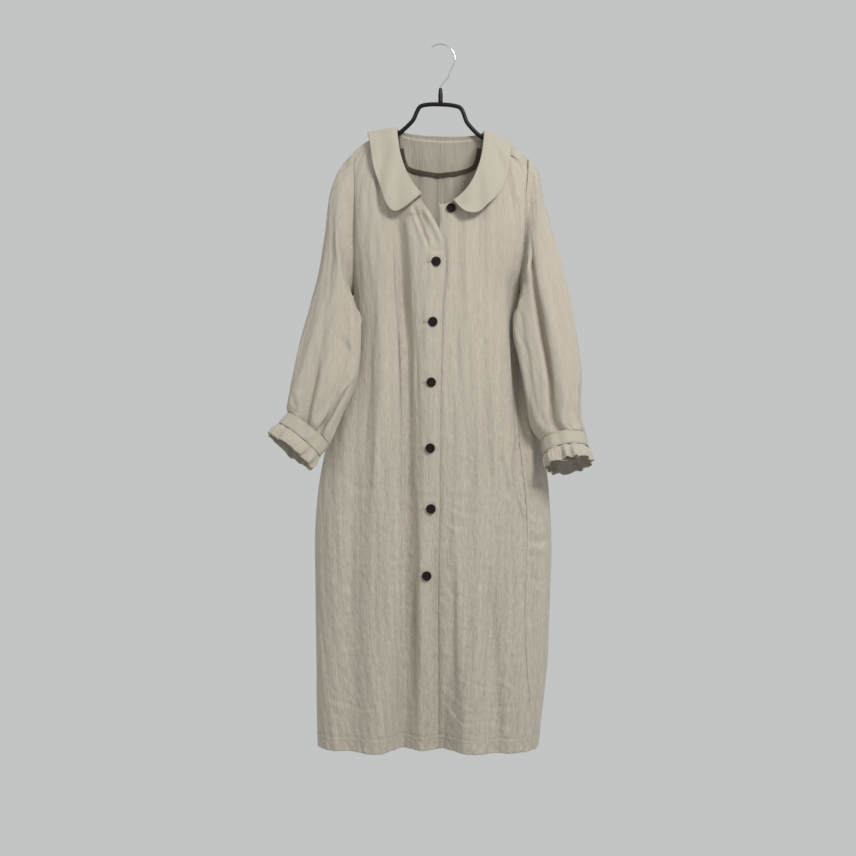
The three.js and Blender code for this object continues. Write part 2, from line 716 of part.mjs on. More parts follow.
// Flat collar round the neck. turn goes from centre front (0) by the shoulder (90) to centre
// back (180) on each side, out is the share of the collar's width.
function collarPoint(side, turn, out) {
  const isFront = turn <= 90
  const angle = turn * RAD
  const start = COLLAR_START[sideName(side)]
  const fromTip = (turn - start) * RAD * COLLAR_RUN
  const ending = Math.sqrt(Math.max(0.0004, 1 - (1 - clamp(fromTip / COLLAR_END_ROUND)) ** 2))
  const rise = COLLAR_LIFT[isFront ? 'front' : 'back'] * Math.cos(angle) ** 2
  const height = COLLAR_CLEAR + COLLAR_CLOTH / 2 + COLLAR_ROLL * Math.sin(Math.PI * out / 2) +
    rise * out ** 1.4
  if (isFront) {
    const deep = FRONT_NECK_DROP
    const away = new THREE.Vector2(Math.sin(angle) * deep, Math.cos(angle) * NECK_HALF_WIDTH)
    away.normalize()
    const width = mix(-COLLAR_OVERHANG, COLLAR_WIDTH, out) * ending
    const x = NECK_HALF_WIDTH * Math.sin(angle) + away.x * width
    const drop = Math.max(0.05, deep * Math.cos(angle) + away.y * width)
    return raisedFromRidge(side * x, drop, height)
  }
  const reach = NECK_HALF_WIDTH + mix(-COLLAR_OVERHANG, COLLAR_WIDTH, out)
  const fall = BACK_NECK_DROP + mix(-COLLAR_OVERHANG, COLLAR_BACK_WIDTH, out)
  const x = reach * Math.sin(angle) ** 0.8
  const drop = -fall * Math.abs(Math.cos(angle)) ** 0.8
  return raisedFromRidge(side * x, drop, height)
}

// A place given by x and its drop in front of (+) or behind (-) the shoulder ridge, stood
// off the panels there. The direction turns smoothly from forwards, over the ridge, to back.
function raisedFromRidge(x, drop, height) {
  const point = bodyAt(x, ridgeHeight(x) - Math.abs(drop), drop > 0)
  if (x < 0 && drop > 0) point.y -= lapLift(x, point.z) * clamp(drop / 40)
  const turn = (90 - 76 * Math.tanh(drop / 20)) * RAD
  const outwards = 0.45 * Math.sign(x) * Math.sin(turn) ** 3 * clamp(Math.abs(x) / 60)
  const direction = new THREE.Vector3(outwards, -Math.cos(turn), Math.sin(turn)).normalize()
  return laidOn(panels, point, direction, height)
}

// Finds the cloth at a point from outside, along a direction, and stands the point off it.
function laidOn(meshes, point, direction, height) {
  const away = 60
  const ray = new THREE.Raycaster(
    point.clone().addScaledVector(direction, away),
    direction.clone().negate(),
    0,
    2 * away,
  )
  const hits = ray.intersectObjects(meshes, false)
  const hit = hits.find((one) => one.point.distanceTo(point) < LAID_REACH)
  const foot = hit ? hit.point.clone() : point.clone().addScaledVector(direction, CLOTH / 2)
  return foot.addScaledVector(direction, height)
}

// Rows of the collar lie closer together where it goes over the shoulder.
function collarTurns(side) {
  const start = COLLAR_START[sideName(side)]
  const turns = []
  for (let i = COLLAR_BACK_STEPS; i >= 0; i -= 1) {
    turns.push(90 + 90 * (i / COLLAR_BACK_STEPS) ** 1.5)
  }
  for (let i = 1; i <= COLLAR_FRONT_STEPS; i += 1) {
    turns.push(90 - (90 - start) * (i / COLLAR_FRONT_STEPS) ** 1.7)
  }
  return turns
}

function collarGrid() {
  const row = (side) => (turn) => (
    [0, 0.25, 0.5, 0.75, 1].map((out) => collarPoint(side, turn, out))
  )
  const right = collarTurns(-1).map(row(-1)).reverse()
  const left = collarTurns(1).slice(1).map(row(1))
  return [...right, ...left]
}

// Points of the facing: across is the share along its lower edge, up goes to the neckline.
function facingPoint(across, up, height) {
  const edge = facingEdge(across)
  const x = mix(edge.x, edge.x * 1.02, up)
  const top = backNeckZ(x) - 4
  const place = bodyAt(x, mix(edge.z, top, up), false)
  return laidOn(backs, place, new THREE.Vector3(0, -1, 0), height)
}

function facingEdge(across) {
  const place = Math.abs(across) * (FACING_EDGE.length - 1)
  const row = Math.min(FACING_EDGE.length - 2, Math.floor(place))
  const share = place - row
  return {
    x: Math.sign(across) * mix(FACING_EDGE[row].x, FACING_EDGE[row + 1].x, share),
    z: mix(FACING_EDGE[row].z, FACING_EDGE[row + 1].z, share),
  }
}

const FACING_HEIGHT = FACING_CLEAR + FACING_CLOTH / 2

function facingGrid() {
  const rows = []
  for (let i = 0; i <= 18; i += 1) {
    const across = (i / 9 - 1) * FACING_REACH
    rows.push([0.02, 0.25, 0.5, 0.75, 1].map((up) => facingPoint(across, up, FACING_HEIGHT)))
  }
  return rows
}

// The tape straddles the facing's lower edge, on the side that shows.
function bindingGrid() {
  const height = FACING_HEIGHT + FACING_CLOTH + 2 * LAYER_GAP
  const rows = []
  for (let i = 0; i <= 28; i += 1) {
    const across = (i / 14 - 1) * FACING_REACH
    const here = facingEdge(across)
    const next = facingEdge(across + 0.02)
    const before = facingEdge(across - 0.02)
    const along = new THREE.Vector2(next.x - before.x, next.z - before.z).normalize()
    const inward = new THREE.Vector2(-along.y, along.x)
    rows.push([-1.5, BINDING_WIDTH / 2, BINDING_WIDTH - 1.5].map((out) => {
      const x = here.x + inward.x * out
      const z = Math.min(backNeckZ(here.x) - 1, here.z + inward.y * out)
      return laidOn(backs, bodyAt(x, z, false), new THREE.Vector3(0, -1, 0), height)
    }))
  }
  return rows
}

// The hem is turned up inside: a band made from each panel's own two lowest rows. The
// lapping front's band stops short of the overlap, where its facing takes over.
function hemGrid(grid, inward, from = 0) {
  const rows = moved(grid, inward * (CLOTH + LAYER_GAP))
    .slice(-2)
    .map((row) => row.slice(from))
  return drawIn(rows, { top: SEAM_INSET, bottom: SEAM_INSET, start: SEAM_INSET, end: 2 })
}

// A pocket bag, two cloths pressed together, hangs inside the front from its mouth in the
// side seam.
function pocketGrid(side) {
  const rows = []
  for (let i = 0; i <= 7; i += 1) {
    const z = mix(POCKET.top, POCKET.bottom, i / 7)
    const row = []
    for (let j = 0; j <= 5; j += 1) {
      row.push(insidePoint(side, seamAngle(side, z) - 1.5 - j / 5 * POCKET.turn, z))
    }
    rows.push(row)
  }
  return rows
}

// A point that stands inside the front's cloth, square to the section.
function insidePoint(side, angle, z) {
  const here = bodyPoint(side, angle, z)
  const step = 3
  const along = bodyPoint(side, Math.min(89.5, angle + step), z)
    .sub(bodyPoint(side, angle - step, z))
  const normal = new THREE.Vector3(-along.y, along.x, 0).multiplyScalar(side).normalize()
  return here.addScaledVector(normal, CLOTH / 2 + POCKET.inside + POCKET.cloth / 2)
}

function polygon(path, x, y, radius, sides) {
  for (let i = 0; i < sides; i += 1) {
    const turn = i / sides * Math.PI * 2
    const [px, py] = [x + radius * Math.cos(turn), y + radius * Math.sin(turn)]
    if (i === 0) path.moveTo(px, py)
    else path.lineTo(px, py)
  }
  path.closePath()
  return path
}

function buttonGeometry() {
  const face = polygon(new THREE.Shape(), 0, 0, BUTTON_RADIUS, 20)
  for (const [x, y] of [[1, 1], [-1, 1], [-1, -1], [1, -1]]) {
    const [holeX, holeY] = [x * BUTTON_HOLE_OFFSET, y * BUTTON_HOLE_OFFSET]
    face.holes.push(polygon(new THREE.Path(), holeX, holeY, BUTTON_HOLE, 6))
  }
  return new THREE.ExtrudeGeometry(face, { depth: BUTTON_THICKNESS, bevelEnabled: false })
}

const coat = new THREE.Group()

const clothLook = (colour) => new THREE.MeshStandardMaterial({
  color: colour,
  roughness: 0.92,
  metalness: 0,
})

function add(name, geometry, material) {
  const mesh = new THREE.Mesh(geometry, material)
  mesh.name = name
  coat.add(mesh)
  return mesh
}

const panels = []
const backs = []

function addBody() {
  for (const side of [-1, 1]) {
    const name = sideName(side)
    const front = frontGrid(side)
    const back = backGrid(side)
    const clear = side < 0 ? front[HEM_ROW].findIndex((point) => point.x < HEM_CLEAR_X) : 0
    panels.push(add(`front_${name}`, wall(front, CLOTH), clothLook(CLOTH_COLOUR)))
    backs.push(add(`back_${name}`, wall(back, CLOTH), clothLook(CLOTH_COLOUR)))
    const hemFront = hemGrid(front, side, clear)
    const hemBack = hemGrid(back, -side)
    add(`hem_front_${name}`, wall(hemFront, CLOTH), clothLook(CLOTH_COLOUR))
    add(`hem_back_${name}`, wall(hemBack, CLOTH), clothLook(CLOTH_COLOUR))
    add(`pocket_${name}`, wall(pocketGrid(side), POCKET.cloth), clothLook(CLOTH_COLOUR))
  }
  panels.push(...backs)
}

function addSleeves() {
  for (const side of [-1, 1]) {
    const name = sideName(side)
    add(`sleeve_${name}`, wall(sleeveGrid(side), CLOTH, true), clothLook(CLOTH_COLOUR))
    add(`cuff_band_${name}`, cuffBand(side), clothLook(CLOTH_COLOUR))
    add(`cuff_frill_${name}`, cuffFrill(side), clothLook(CLOTH_COLOUR))
  }
}

function addNeck() {
  add('collar', wall(collarGrid(), COLLAR_CLOTH), clothLook('#bfb9a9'))
  add('back_neck_facing', wall(facingGrid(), FACING_CLOTH), clothLook(CLOTH_COLOUR))
  add('facing_binding', wall(bindingGrid(), FACING_CLOTH), clothLook('#463d2e'))
}

// The top button sits on the left front, the others on the front that laps over it.
function addButtons() {
  BUTTONS.forEach((place, i) => {
    const look = new THREE.MeshStandardMaterial({ color: '#140c09', roughness: 0.35, metalness: 0 })
    const normal = bodySquare(place.x, place.z)
    const front = i === 0 ? panels[1] : panels[0]
    const centre = laidOn([front], bodyAt(place.x, place.z, true), normal, 0)
    let highest = 0
    for (const [x, z] of [[1, 0], [0, 1], [-1, 0], [0, -1]]) {
      const rim = bodyAt(place.x + x * BUTTON_RADIUS, place.z + z * BUTTON_RADIUS, true)
      highest = Math.max(highest, laidOn([front], rim, normal, 0).sub(centre).dot(normal))
    }
    const foot = centre.addScaledVector(normal, highest + BUTTON_CLEAR)
    const button = add(`button_${i + 1}`, buttonGeometry(), look)
    button.quaternion.setFromUnitVectors(new THREE.Vector3(0, 0, 1), normal)
    button.position.copy(foot)
  })
}

function hangerCurve() {
  const points = []
  const tilt = SHOULDER_TILT * RAD
  for (const side of [-1, 1]) {
    const half = side < 0 ? [...HANGER_PATH].reverse() : HANGER_PATH.slice(1)
    for (const { x, z } of half) {
      const drop = z - HANGER_PATH[0].z
      points.push(new THREE.Vector3(
        side * x * Math.cos(tilt) + drop * Math.sin(tilt),
        0,
        HANGER_PATH[0].z + drop * Math.cos(tilt) - side * x * Math.sin(tilt),
      ))
    }
  }
  return new THREE.CatmullRomCurve3(points, false, 'centripetal')
}

function addHanger() {
  const black = new THREE.MeshStandardMaterial({ color: '#151618', roughness: 0.4, metalness: 0 })
  const chrome = new THREE.MeshStandardMaterial({ color: '#c9ccd0', roughness: 0.18, metalness: 1 })
  add('hanger_body', new THREE.ExtrudeGeometry(polygon(new THREE.Shape(), 0, 0, HANGER_RADIUS, 8), {
    extrudePath: hangerCurve(),
    steps: 44,
    bevelEnabled: false,
  }), black)
  const middle = -HOOK_RADIUS + WIRE_RADIUS
  const points = []
  for (let turn = 128; turn >= -30; turn -= 14) {
    points.push(new THREE.Vector3(
      HOOK_RADIUS * Math.cos(turn * RAD),
      0,
      middle + HOOK_RADIUS * Math.sin(turn * RAD),
    ))
  }
  for (const [x, z] of HOOK_STEM) points.push(new THREE.Vector3(x, 0, z))
  const curve = new THREE.CatmullRomCurve3(points, false, 'centripetal')
  add('hanger_hook', new THREE.ExtrudeGeometry(polygon(new THREE.Shape(), 0, 0, WIRE_RADIUS, 8), {
    extrudePath: curve,
    steps: 34,
    bevelEnabled: false,
  }), chrome)
  const bore = WIRE_RADIUS + LAYER_GAP
  const bottom = NECK_TOP - NECK_LENGTH + 0.6
  const neck = new THREE.LatheGeometry([
    new THREE.Vector2(bore, bottom),
    new THREE.Vector2(4.4, bottom),
    new THREE.Vector2(4.4, NECK_TOP - 12),
    new THREE.Vector2(2.9, NECK_TOP),
    new THREE.Vector2(bore, NECK_TOP),
    new THREE.Vector2(bore, bottom),
  ], 16)
  neck.rotateX(Math.PI / 2)
  add('hanger_neck', neck, black.clone())
}

addBody()
addSleeves()
addNeck()
addButtons()
addHanger()

export default coat
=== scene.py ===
# %% [markdown]
# # A long coat on its hanger
#
# This lesson dresses a plain model of a long, loose coat. The coat is cut from crinkled
# oatmeal cloth, has a flat round collar and frilled cuffs, and hangs open at the neck on a
# black hanger. Each piece of cloth is made here from the same few widths and depths that
# shaped the plain model, only finer, so that the cloth lies where the plain piece lay.

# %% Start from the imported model
import json

import bpy
import numpy as np
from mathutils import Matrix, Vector
from mathutils.bvhtree import BVHTree

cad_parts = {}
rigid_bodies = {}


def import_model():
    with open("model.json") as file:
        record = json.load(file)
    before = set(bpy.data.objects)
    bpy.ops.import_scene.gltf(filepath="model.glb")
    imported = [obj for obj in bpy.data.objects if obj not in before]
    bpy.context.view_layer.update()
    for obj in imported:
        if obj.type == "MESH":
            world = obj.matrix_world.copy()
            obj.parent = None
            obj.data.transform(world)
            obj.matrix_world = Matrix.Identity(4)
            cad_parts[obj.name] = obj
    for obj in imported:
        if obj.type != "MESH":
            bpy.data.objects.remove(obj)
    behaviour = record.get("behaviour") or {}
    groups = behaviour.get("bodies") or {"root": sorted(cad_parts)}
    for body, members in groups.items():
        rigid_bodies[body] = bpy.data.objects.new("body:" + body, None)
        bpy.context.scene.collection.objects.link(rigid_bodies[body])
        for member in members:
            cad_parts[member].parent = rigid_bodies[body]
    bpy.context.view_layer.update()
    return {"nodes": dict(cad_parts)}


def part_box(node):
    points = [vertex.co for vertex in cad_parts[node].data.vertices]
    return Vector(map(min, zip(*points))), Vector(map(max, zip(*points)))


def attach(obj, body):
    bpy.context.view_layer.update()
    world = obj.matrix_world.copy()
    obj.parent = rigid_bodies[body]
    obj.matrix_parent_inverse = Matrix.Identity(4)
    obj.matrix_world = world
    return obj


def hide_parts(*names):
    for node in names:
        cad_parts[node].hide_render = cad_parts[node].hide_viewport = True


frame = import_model()
print("nodes of the plain model:", len(frame["nodes"]))

# %% [markdown]
# ## Camera
#
# The coat is looked at straight from the front, level with its middle. A long lens from a
# little over two metres keeps its sides nearly parallel.

# %% Camera
AIM = Vector((-0.024, 0.0, -0.735))
DISTANCE = 2.3
camera_data = bpy.data.cameras.new("camera")
camera_data.sensor_width = 36.0
camera_data.lens = 50.4
camera_data.dof.use_dof = False
camera = bpy.data.objects.new("camera", camera_data)
camera.location = AIM + Vector((0.0, -DISTANCE, 0.0))
camera.rotation_euler = (np.pi / 2, 0.0, 0.0)
bpy.context.scene.collection.objects.link(camera)
bpy.context.scene.camera = camera
print("camera at", [round(value, 3) for value in camera.location])

# %% [markdown]
# ## Light and floor
#
# A wide soft lamp at the upper right of the front draws out the creases, a second one fills
# the left, and a pale surround keeps the shadows light. A pale floor lies well below the hem.

# %% Light and floor
FLOOR_Z = -2.05
FLOOR_RADIUS = 1.1
SURROUND = (0.545, 0.555, 0.55, 1.0)
LAMPS = {
    "key lamp": {"place": (1.25, -2.2, 1.15), "size": 0.7, "power": 70.0},
    "fill lamp": {"place": (-2.2, -2.4, -0.4), "size": 2.4, "power": 8.0},
}


def add_lamp(name, place, size, power):
    """A square lamp that looks at the middle of the coat."""
    data = bpy.data.lights.new(name, "AREA")
    data.size = size
    data.energy = power
    lamp = bpy.data.objects.new(name, data)
    lamp.location = place
    lamp.rotation_euler = (AIM - Vector(place)).to_track_quat("-Z", "Y").to_euler()
    bpy.context.scene.collection.objects.link(lamp)


for lamp_name, facts in LAMPS.items():
    add_lamp(lamp_name, **facts)

world = bpy.data.worlds.new("pale surround")
world.use_nodes = True
background = world.node_tree.nodes["Background"]
background.inputs["Color"].default_value = SURROUND
background.inputs["Strength"].default_value = 1.0
bpy.context.scene.world = world
bpy.context.scene.view_settings.view_transform = "Standard"


def plain_finish(name, colour, roughness, metallic=0.0, shine=0.5):
    """A plain finish of one colour."""
    material = bpy.data.materials.new(name)
    material.use_nodes = True
    shader = material.node_tree.nodes["Principled BSDF"]
    shader.inputs["Base Color"].default_value = (*colour, 1.0)
    shader.inputs["Roughness"].default_value = roughness
    shader.inputs["Metallic"].default_value = metallic
    shader.inputs["Specular IOR Level"].default_value = shine
    return material


def disc(name, radius, z, sides=64):
    """A flat round of that radius at height z."""
    turns = np.linspace(0, 2 * np.pi, sides, endpoint=False)
    points = [(radius * np.cos(t), radius * np.sin(t), z) for t in turns]
    mesh = bpy.data.meshes.new(name)
    mesh.from_pydata(points, [], [list(range(sides))])
    piece = bpy.data.objects.new(name, mesh)
    bpy.context.scene.collection.objects.link(piece)
    return piece


floor = disc("floor", FLOOR_RADIUS, FLOOR_Z)
floor.data.materials.append(plain_finish("pale floor", (0.6, 0.6, 0.59), 0.9))
print("lamps:", len(LAMPS))

# %% [markdown]
# ## Sizes of the coat
#
# These are the coat's own sizes, in millimetres: half widths and depths at a few heights, the
# places of its seams and edges, and its largest folds. They are the sizes that the plain
# model was made from.

# %% Sizes of the body
MM = 0.001
UNDERARM_Z = -480
HEM_Z = -1338
HEM_BAND = 27
NECK_TOP_Z = -163
SHOULDER_TIP_X = 168
SHOULDER_TILT = np.tan(np.radians(2))
SHOULDER_SLOPE = 0.48
TIP_DROOP = 0.008
DROOP_FROM = 130
FRONT_NECK_DROP = 155
BACK_NECK_DROP = 14
NECK_HALF_WIDTH = 85
ARM_HALF_DEPTH = 38
SHOULDER_ROUND = 170
SECTION_POWER = 0.77
RIDGE_POWER = 0.6
LAP_WIDTH = 80
LAP_FADE = 25
LAP_LIFT = 4.8
SEAM_FORWARD = {-1: 0, 1: 24}
SEAM_RAMP = {"neck": 30, "tip": 12}
MOUTH = {"top": -745, "bottom": -915, "turn": 9}


def columns(names, rows):
    """A small table: one array of numbers for each named column."""
    data = np.array(rows, dtype=float)
    return {name: data[:, place] for place, name in enumerate(names.split())}


def rows_of(names, rows):
    """A table whose rows are used one by one: a dictionary for each, by the columns' names."""
    return [dict(zip(names.split(), row)) for row in rows]


BODY = columns("z right left front back", [
    (-150, 168, 168, 60, 40),
    (-228, 168, 168, 62, 41),
    (-300, 162, 161, 68, 44),
    (-390, 162, 154, 74, 48),
    (-480, 166, 149, 78, 52),
    (-560, 168, 160, 82, 56),
    (-650, 184, 174, 86, 59),
    (-739, 209, 189, 88, 62),
    (-815, 228, 202, 89, 64),
    (-902, 238, 209, 90, 67),
    (-1066, 239, 208, 90, 71),
    (-1200, 237, 201, 94, 75),
    (-1345, 234, 186, 98, 79),
])
LEFT_SEAM = columns("z angle", [
    (-480, 90), (-600, 60), (-760, 45), (-900, 45), (-1140, 45), (-1340, 62),
])
LAP_EDGE = columns("z x", [
    (-311, -36), (-360, -6), (-398, 8), (-498, 4), (-650, 0), (-887, -3), (-1054, -5), (-1340, -4),
])
UNDER_EDGE = columns("z x", [
    (-305, -7), (-350, -3), (-398, -14), (-440, -28), (-650, -36), (-900, -38), (-1340, -38),
])
FRONT_FOLDS = [columns("z x depth width", rows) for rows in [
    [(-200, -90, 0, 14), (-340, -86, 10, 16), (-500, -77, 15, 17), (-870, -62, 14, 17),
     (-1060, -62, 20, 19), (-1338, -70, 60, 29)],
    [(-700, -14, 0, 34), (-1060, -10, 16, 36), (-1338, -2, 56, 38)],
    [(-440, 138, 0, 12), (-520, 141, 24, 14), (-683, 147, 30, 16), (-800, 152, 8, 14),
     (-880, 156, 0, 14)],
    [(-900, 92, 0, 20), (-1150, 98, 9, 22), (-1338, 96, 16, 24)],
    [(-420, -134, 0, 14), (-700, -148, 9, 18), (-1000, -164, 12, 22), (-1338, -168, 18, 26)],
]]
BACK_FOLDS = [columns("z x depth width", rows) for rows in [
    [(-260, -66, 0, 18), (-800, -96, 13, 22), (-1338, -112, 30, 28)],
    [(-280, 58, 0, 18), (-800, 84, 14, 20), (-1338, 104, 34, 26)],
    [(-600, -6, 0, 24), (-1000, -10, 14, 28), (-1338, -14, 32, 32)],
]]
print("heights in the body's table:", len(BODY["z"]))

# %% [markdown]
# ## The body's surface
#
# A place on the body is given by its side, its turn round the section (0 at centre front, 90
# at the side, 180 at centre back) and its height. Fronts and backs share this one surface,
# so their seams meet. Large folds push it in.

# %% The body's surface
def clamp(value):
    return np.clip(value, 0.0, 1.0)


def mix(a, b, share):
    return a + (b - a) * share


def smooth(share):
    return share * share * (3 - 2 * share)


def read(table, column, at, key="z"):
    """Reads a column of a table at a height, smoothly between its rows."""
    sign = 1 if table[key][-1] > table[key][0] else -1
    keys = table[key] * sign
    values = table[column]
    wanted = np.asarray(at, dtype=float) * sign
    row = np.clip(np.searchsorted(keys, wanted, side="right") - 1, 0, len(keys) - 2)
    slopes = np.diff(values) / np.diff(keys)
    ends = np.concatenate([slopes[:1], (slopes[1:] + slopes[:-1]) / 2, slopes[-1:]])
    span = keys[row + 1] - keys[row]
    t = clamp((wanted - keys[row]) / span)
    start = (2 * t ** 3 - 3 * t ** 2 + 1) * values[row] + (t ** 3 - 2 * t ** 2 + t) * span * ends[row]
    end = (3 * t ** 2 - 2 * t ** 3) * values[row + 1] + (t ** 3 - t ** 2) * span * ends[row + 1]
    return start + end


def half_width(side, z):
    return np.where(side < 0, read(BODY, "right", z), read(BODY, "left", z))


def ridge_height(x):
    """Height of the shoulder ridge, drooping towards its tips and tilted to the left."""
    out = np.maximum(0, np.abs(x) - NECK_HALF_WIDTH)
    droop = np.maximum(0, np.abs(x) - DROOP_FROM)
    return NECK_TOP_Z - SHOULDER_SLOPE * out - TIP_DROOP * droop ** 2 - x * SHOULDER_TILT


def armhole_depth(side, z, share=0.0):
    """Half depth of the armhole at a height: half an ellipse, from tip to underarm.

    share is 0 at the armhole itself and 1 at the body's middle, where the ellipse's ends
    are eased, so that no line runs across the body at the underarm."""
    tip = ridge_height(side * SHOULDER_TIP_X)
    middle = (tip + UNDERARM_Z) / 2
    half = (tip - UNDERARM_Z) / 2
    inside = np.maximum(0, 1 - ((z - middle) / half) ** 2)
    return ARM_HALF_DEPTH * inside ** (0.5 + 1.3 * np.sqrt(share))


def fold_depth(folds, x, z):
    total = 0.0
    for fold in folds:
        push = read(fold, "depth", z) * np.exp(
            -(((x - read(fold, "x", z)) / read(fold, "width", z)) ** 2))
        total = total + np.where(z > fold["z"][0], 0.0, push)
    return total


def body_point(side, angle, z):
    turn = np.radians(angle)
    x = side * half_width(side, z) * np.abs(np.sin(turn)) ** SECTION_POWER
    is_front = angle <= 90
    depth = np.where(is_front, read(BODY, "front", z), read(BODY, "back", z))
    share = np.abs(np.cos(turn)) ** SECTION_POWER
    arm = armhole_depth(side, z, share)
    drop = clamp((ridge_height(x) - z) / SHOULDER_ROUND)
    y = arm + (depth - arm) * share * np.sin(drop * np.pi / 2) ** RIDGE_POWER
    folds = np.where(is_front, fold_depth(FRONT_FOLDS, x, z), fold_depth(BACK_FOLDS, x, z))
    y = y - folds * np.minimum(1, share * 2.2)
    return np.stack([x, np.where(is_front, -y, y), z + 0 * x], axis=-1)


def angle_at(side, x, z, is_front):
    share = clamp(side * x / half_width(side, z))
    angle = np.degrees(np.arcsin(share ** (1 / SECTION_POWER)))
    return np.where(is_front, angle, np.maximum(90.01, 180 - angle))


def body_at(x, z, is_front):
    side = np.where(np.asarray(x) < 0, -1, 1)
    return body_point(side, angle_at(side, x, z, is_front), z)


def round_section(side, signed, z):
    """The surface at a signed turn: below zero it is past the centre line, on the other side."""
    here = np.where(signed < 0, -side, side)
    return body_point(here, np.abs(signed), z)


def signed_turn(side, x, z):
    """The signed turn of a place x on the front."""
    return angle_at(side, x, z, True) - angle_at(-side, x, z, True)


def neck_curve(x):
    return np.sqrt(np.maximum(0, 1 - (x / NECK_HALF_WIDTH) ** 2))


def back_neck_z(x):
    return ridge_height(x) - BACK_NECK_DROP * neck_curve(x)


def seam_share(x):
    """Share of its full shift that the shoulder seam has at x."""
    out = np.abs(x)
    from_neck = smooth(clamp((out - NECK_HALF_WIDTH) / SEAM_RAMP["neck"]))
    return from_neck * clamp((SHOULDER_TIP_X - out) / SEAM_RAMP["tip"])


def front_top(side, x):
    """Height of a front's upper edge: the neckline, then the shoulder seam."""
    neck = ridge_height(x) - FRONT_NECK_DROP * neck_curve(x)
    shoulder = ridge_height(x) - SEAM_FORWARD[side] * seam_share(x)
    return np.where(np.abs(x) < NECK_HALF_WIDTH, neck, shoulder)


def seam_angle(side, z):
    """Turn at which the side seam lies; the wearer's left one has swung to the front."""
    if side < 0:
        return 90.0 + 0 * z
    return read(LEFT_SEAM, "angle", np.minimum(UNDERARM_Z, z))


def mouth_turn(side, z):
    """The wearer's left front stands away from its side seam at the pocket's mouth."""
    if side < 0:
        return 0.0 * z
    share = clamp((MOUTH["top"] - z) / (MOUTH["top"] - MOUTH["bottom"]))
    return MOUTH["turn"] * np.sin(share * np.pi) ** 0.7


def lap_lift(x, z):
    """The lapping front stands clear of the one beneath along the overlap."""
    away = np.abs(x - read(LAP_EDGE, "x", z))
    return np.where(x < LAP_WIDTH / 2, LAP_LIFT * smooth(clamp((LAP_WIDTH - away) / LAP_FADE)), 0)


print("centre front at the chest:", body_at(0.0, -400.0, True).round(1))

# %% [markdown]
# ## Creases and ripples
#
# Cloth that has been washed and hung is never smooth. The main creases are given one by one, as
# lines with a depth and a width, each a soft trough with a low ridge beside it. Between them
# the cloth ripples a little, along its length, with waves of uneven size.

# %% Creases and ripples
def ripple(across, along, seed, size, stretch, height):
    """Uneven soft waves: size is their width, stretch how much longer than wide they are."""
    rng = np.random.default_rng(seed)
    count = 22
    total = 0.0
    for _ in range(count):
        width = size * rng.uniform(0.75, 1.6)
        length = size * stretch * rng.uniform(0.6, 1.6) * rng.choice([-1, 1])
        start = rng.uniform(0, 2 * np.pi)
        total = total + np.sin(2 * np.pi * (across / width + along / length) + start)
    return height * total / np.sqrt(count / 2)


def crease(across, along, path, depth, width, slope=0.0):
    """A trough along a path, fading at both ends, with a low ridge on one side of it.

    A slope makes the trough's other side a long one that rises over that distance."""
    path = np.array(path, dtype=float)
    nearest = np.full(np.shape(across), 1e9)
    signed = np.zeros(np.shape(across))
    place = np.zeros(np.shape(across))
    steps = np.linalg.norm(np.diff(path, axis=0), axis=1)
    run = np.concatenate([[0], np.cumsum(steps)])
    for part, (a, b) in enumerate(zip(path[:-1], path[1:])):
        line = (b - a) / steps[part]
        forward = (across - a[0]) * line[0] + (along - a[1]) * line[1]
        held = np.clip(forward, 0, steps[part])
        away = np.hypot(across - a[0] - held * line[0], along - a[1] - held * line[1])
        turn = (across - a[0]) * line[1] - (along - a[1]) * line[0]
        closer = away < nearest
        nearest = np.where(closer, away, nearest)
        signed = np.where(closer, away * np.sign(turn + 1e-9), signed)
        place = np.where(closer, (run[part] + held) / run[-1], place)
    fade = smooth(clamp(place * 5)) * smooth(clamp((1 - place) * 4)) + 0.12
    trough = np.exp(-((signed / width) ** 2))
    if slope:
        trough = np.where(signed < 0, np.exp(-((signed / slope) ** 2)), trough)
    ridge = 0.55 * np.exp(-(((signed - 1.9 * width) / (1.3 * width)) ** 2))
    return depth * fade * (ridge - trough)


def pushed(grid, height):
    """Moves each point of a grid along the cloth's own direction there."""
    down = np.gradient(grid, axis=0)
    across = np.gradient(grid, axis=1)
    normal = np.cross(across, down)
    normal /= np.maximum(1e-9, np.linalg.norm(normal, axis=-1, keepdims=True))
    return grid + normal * height[..., None], normal


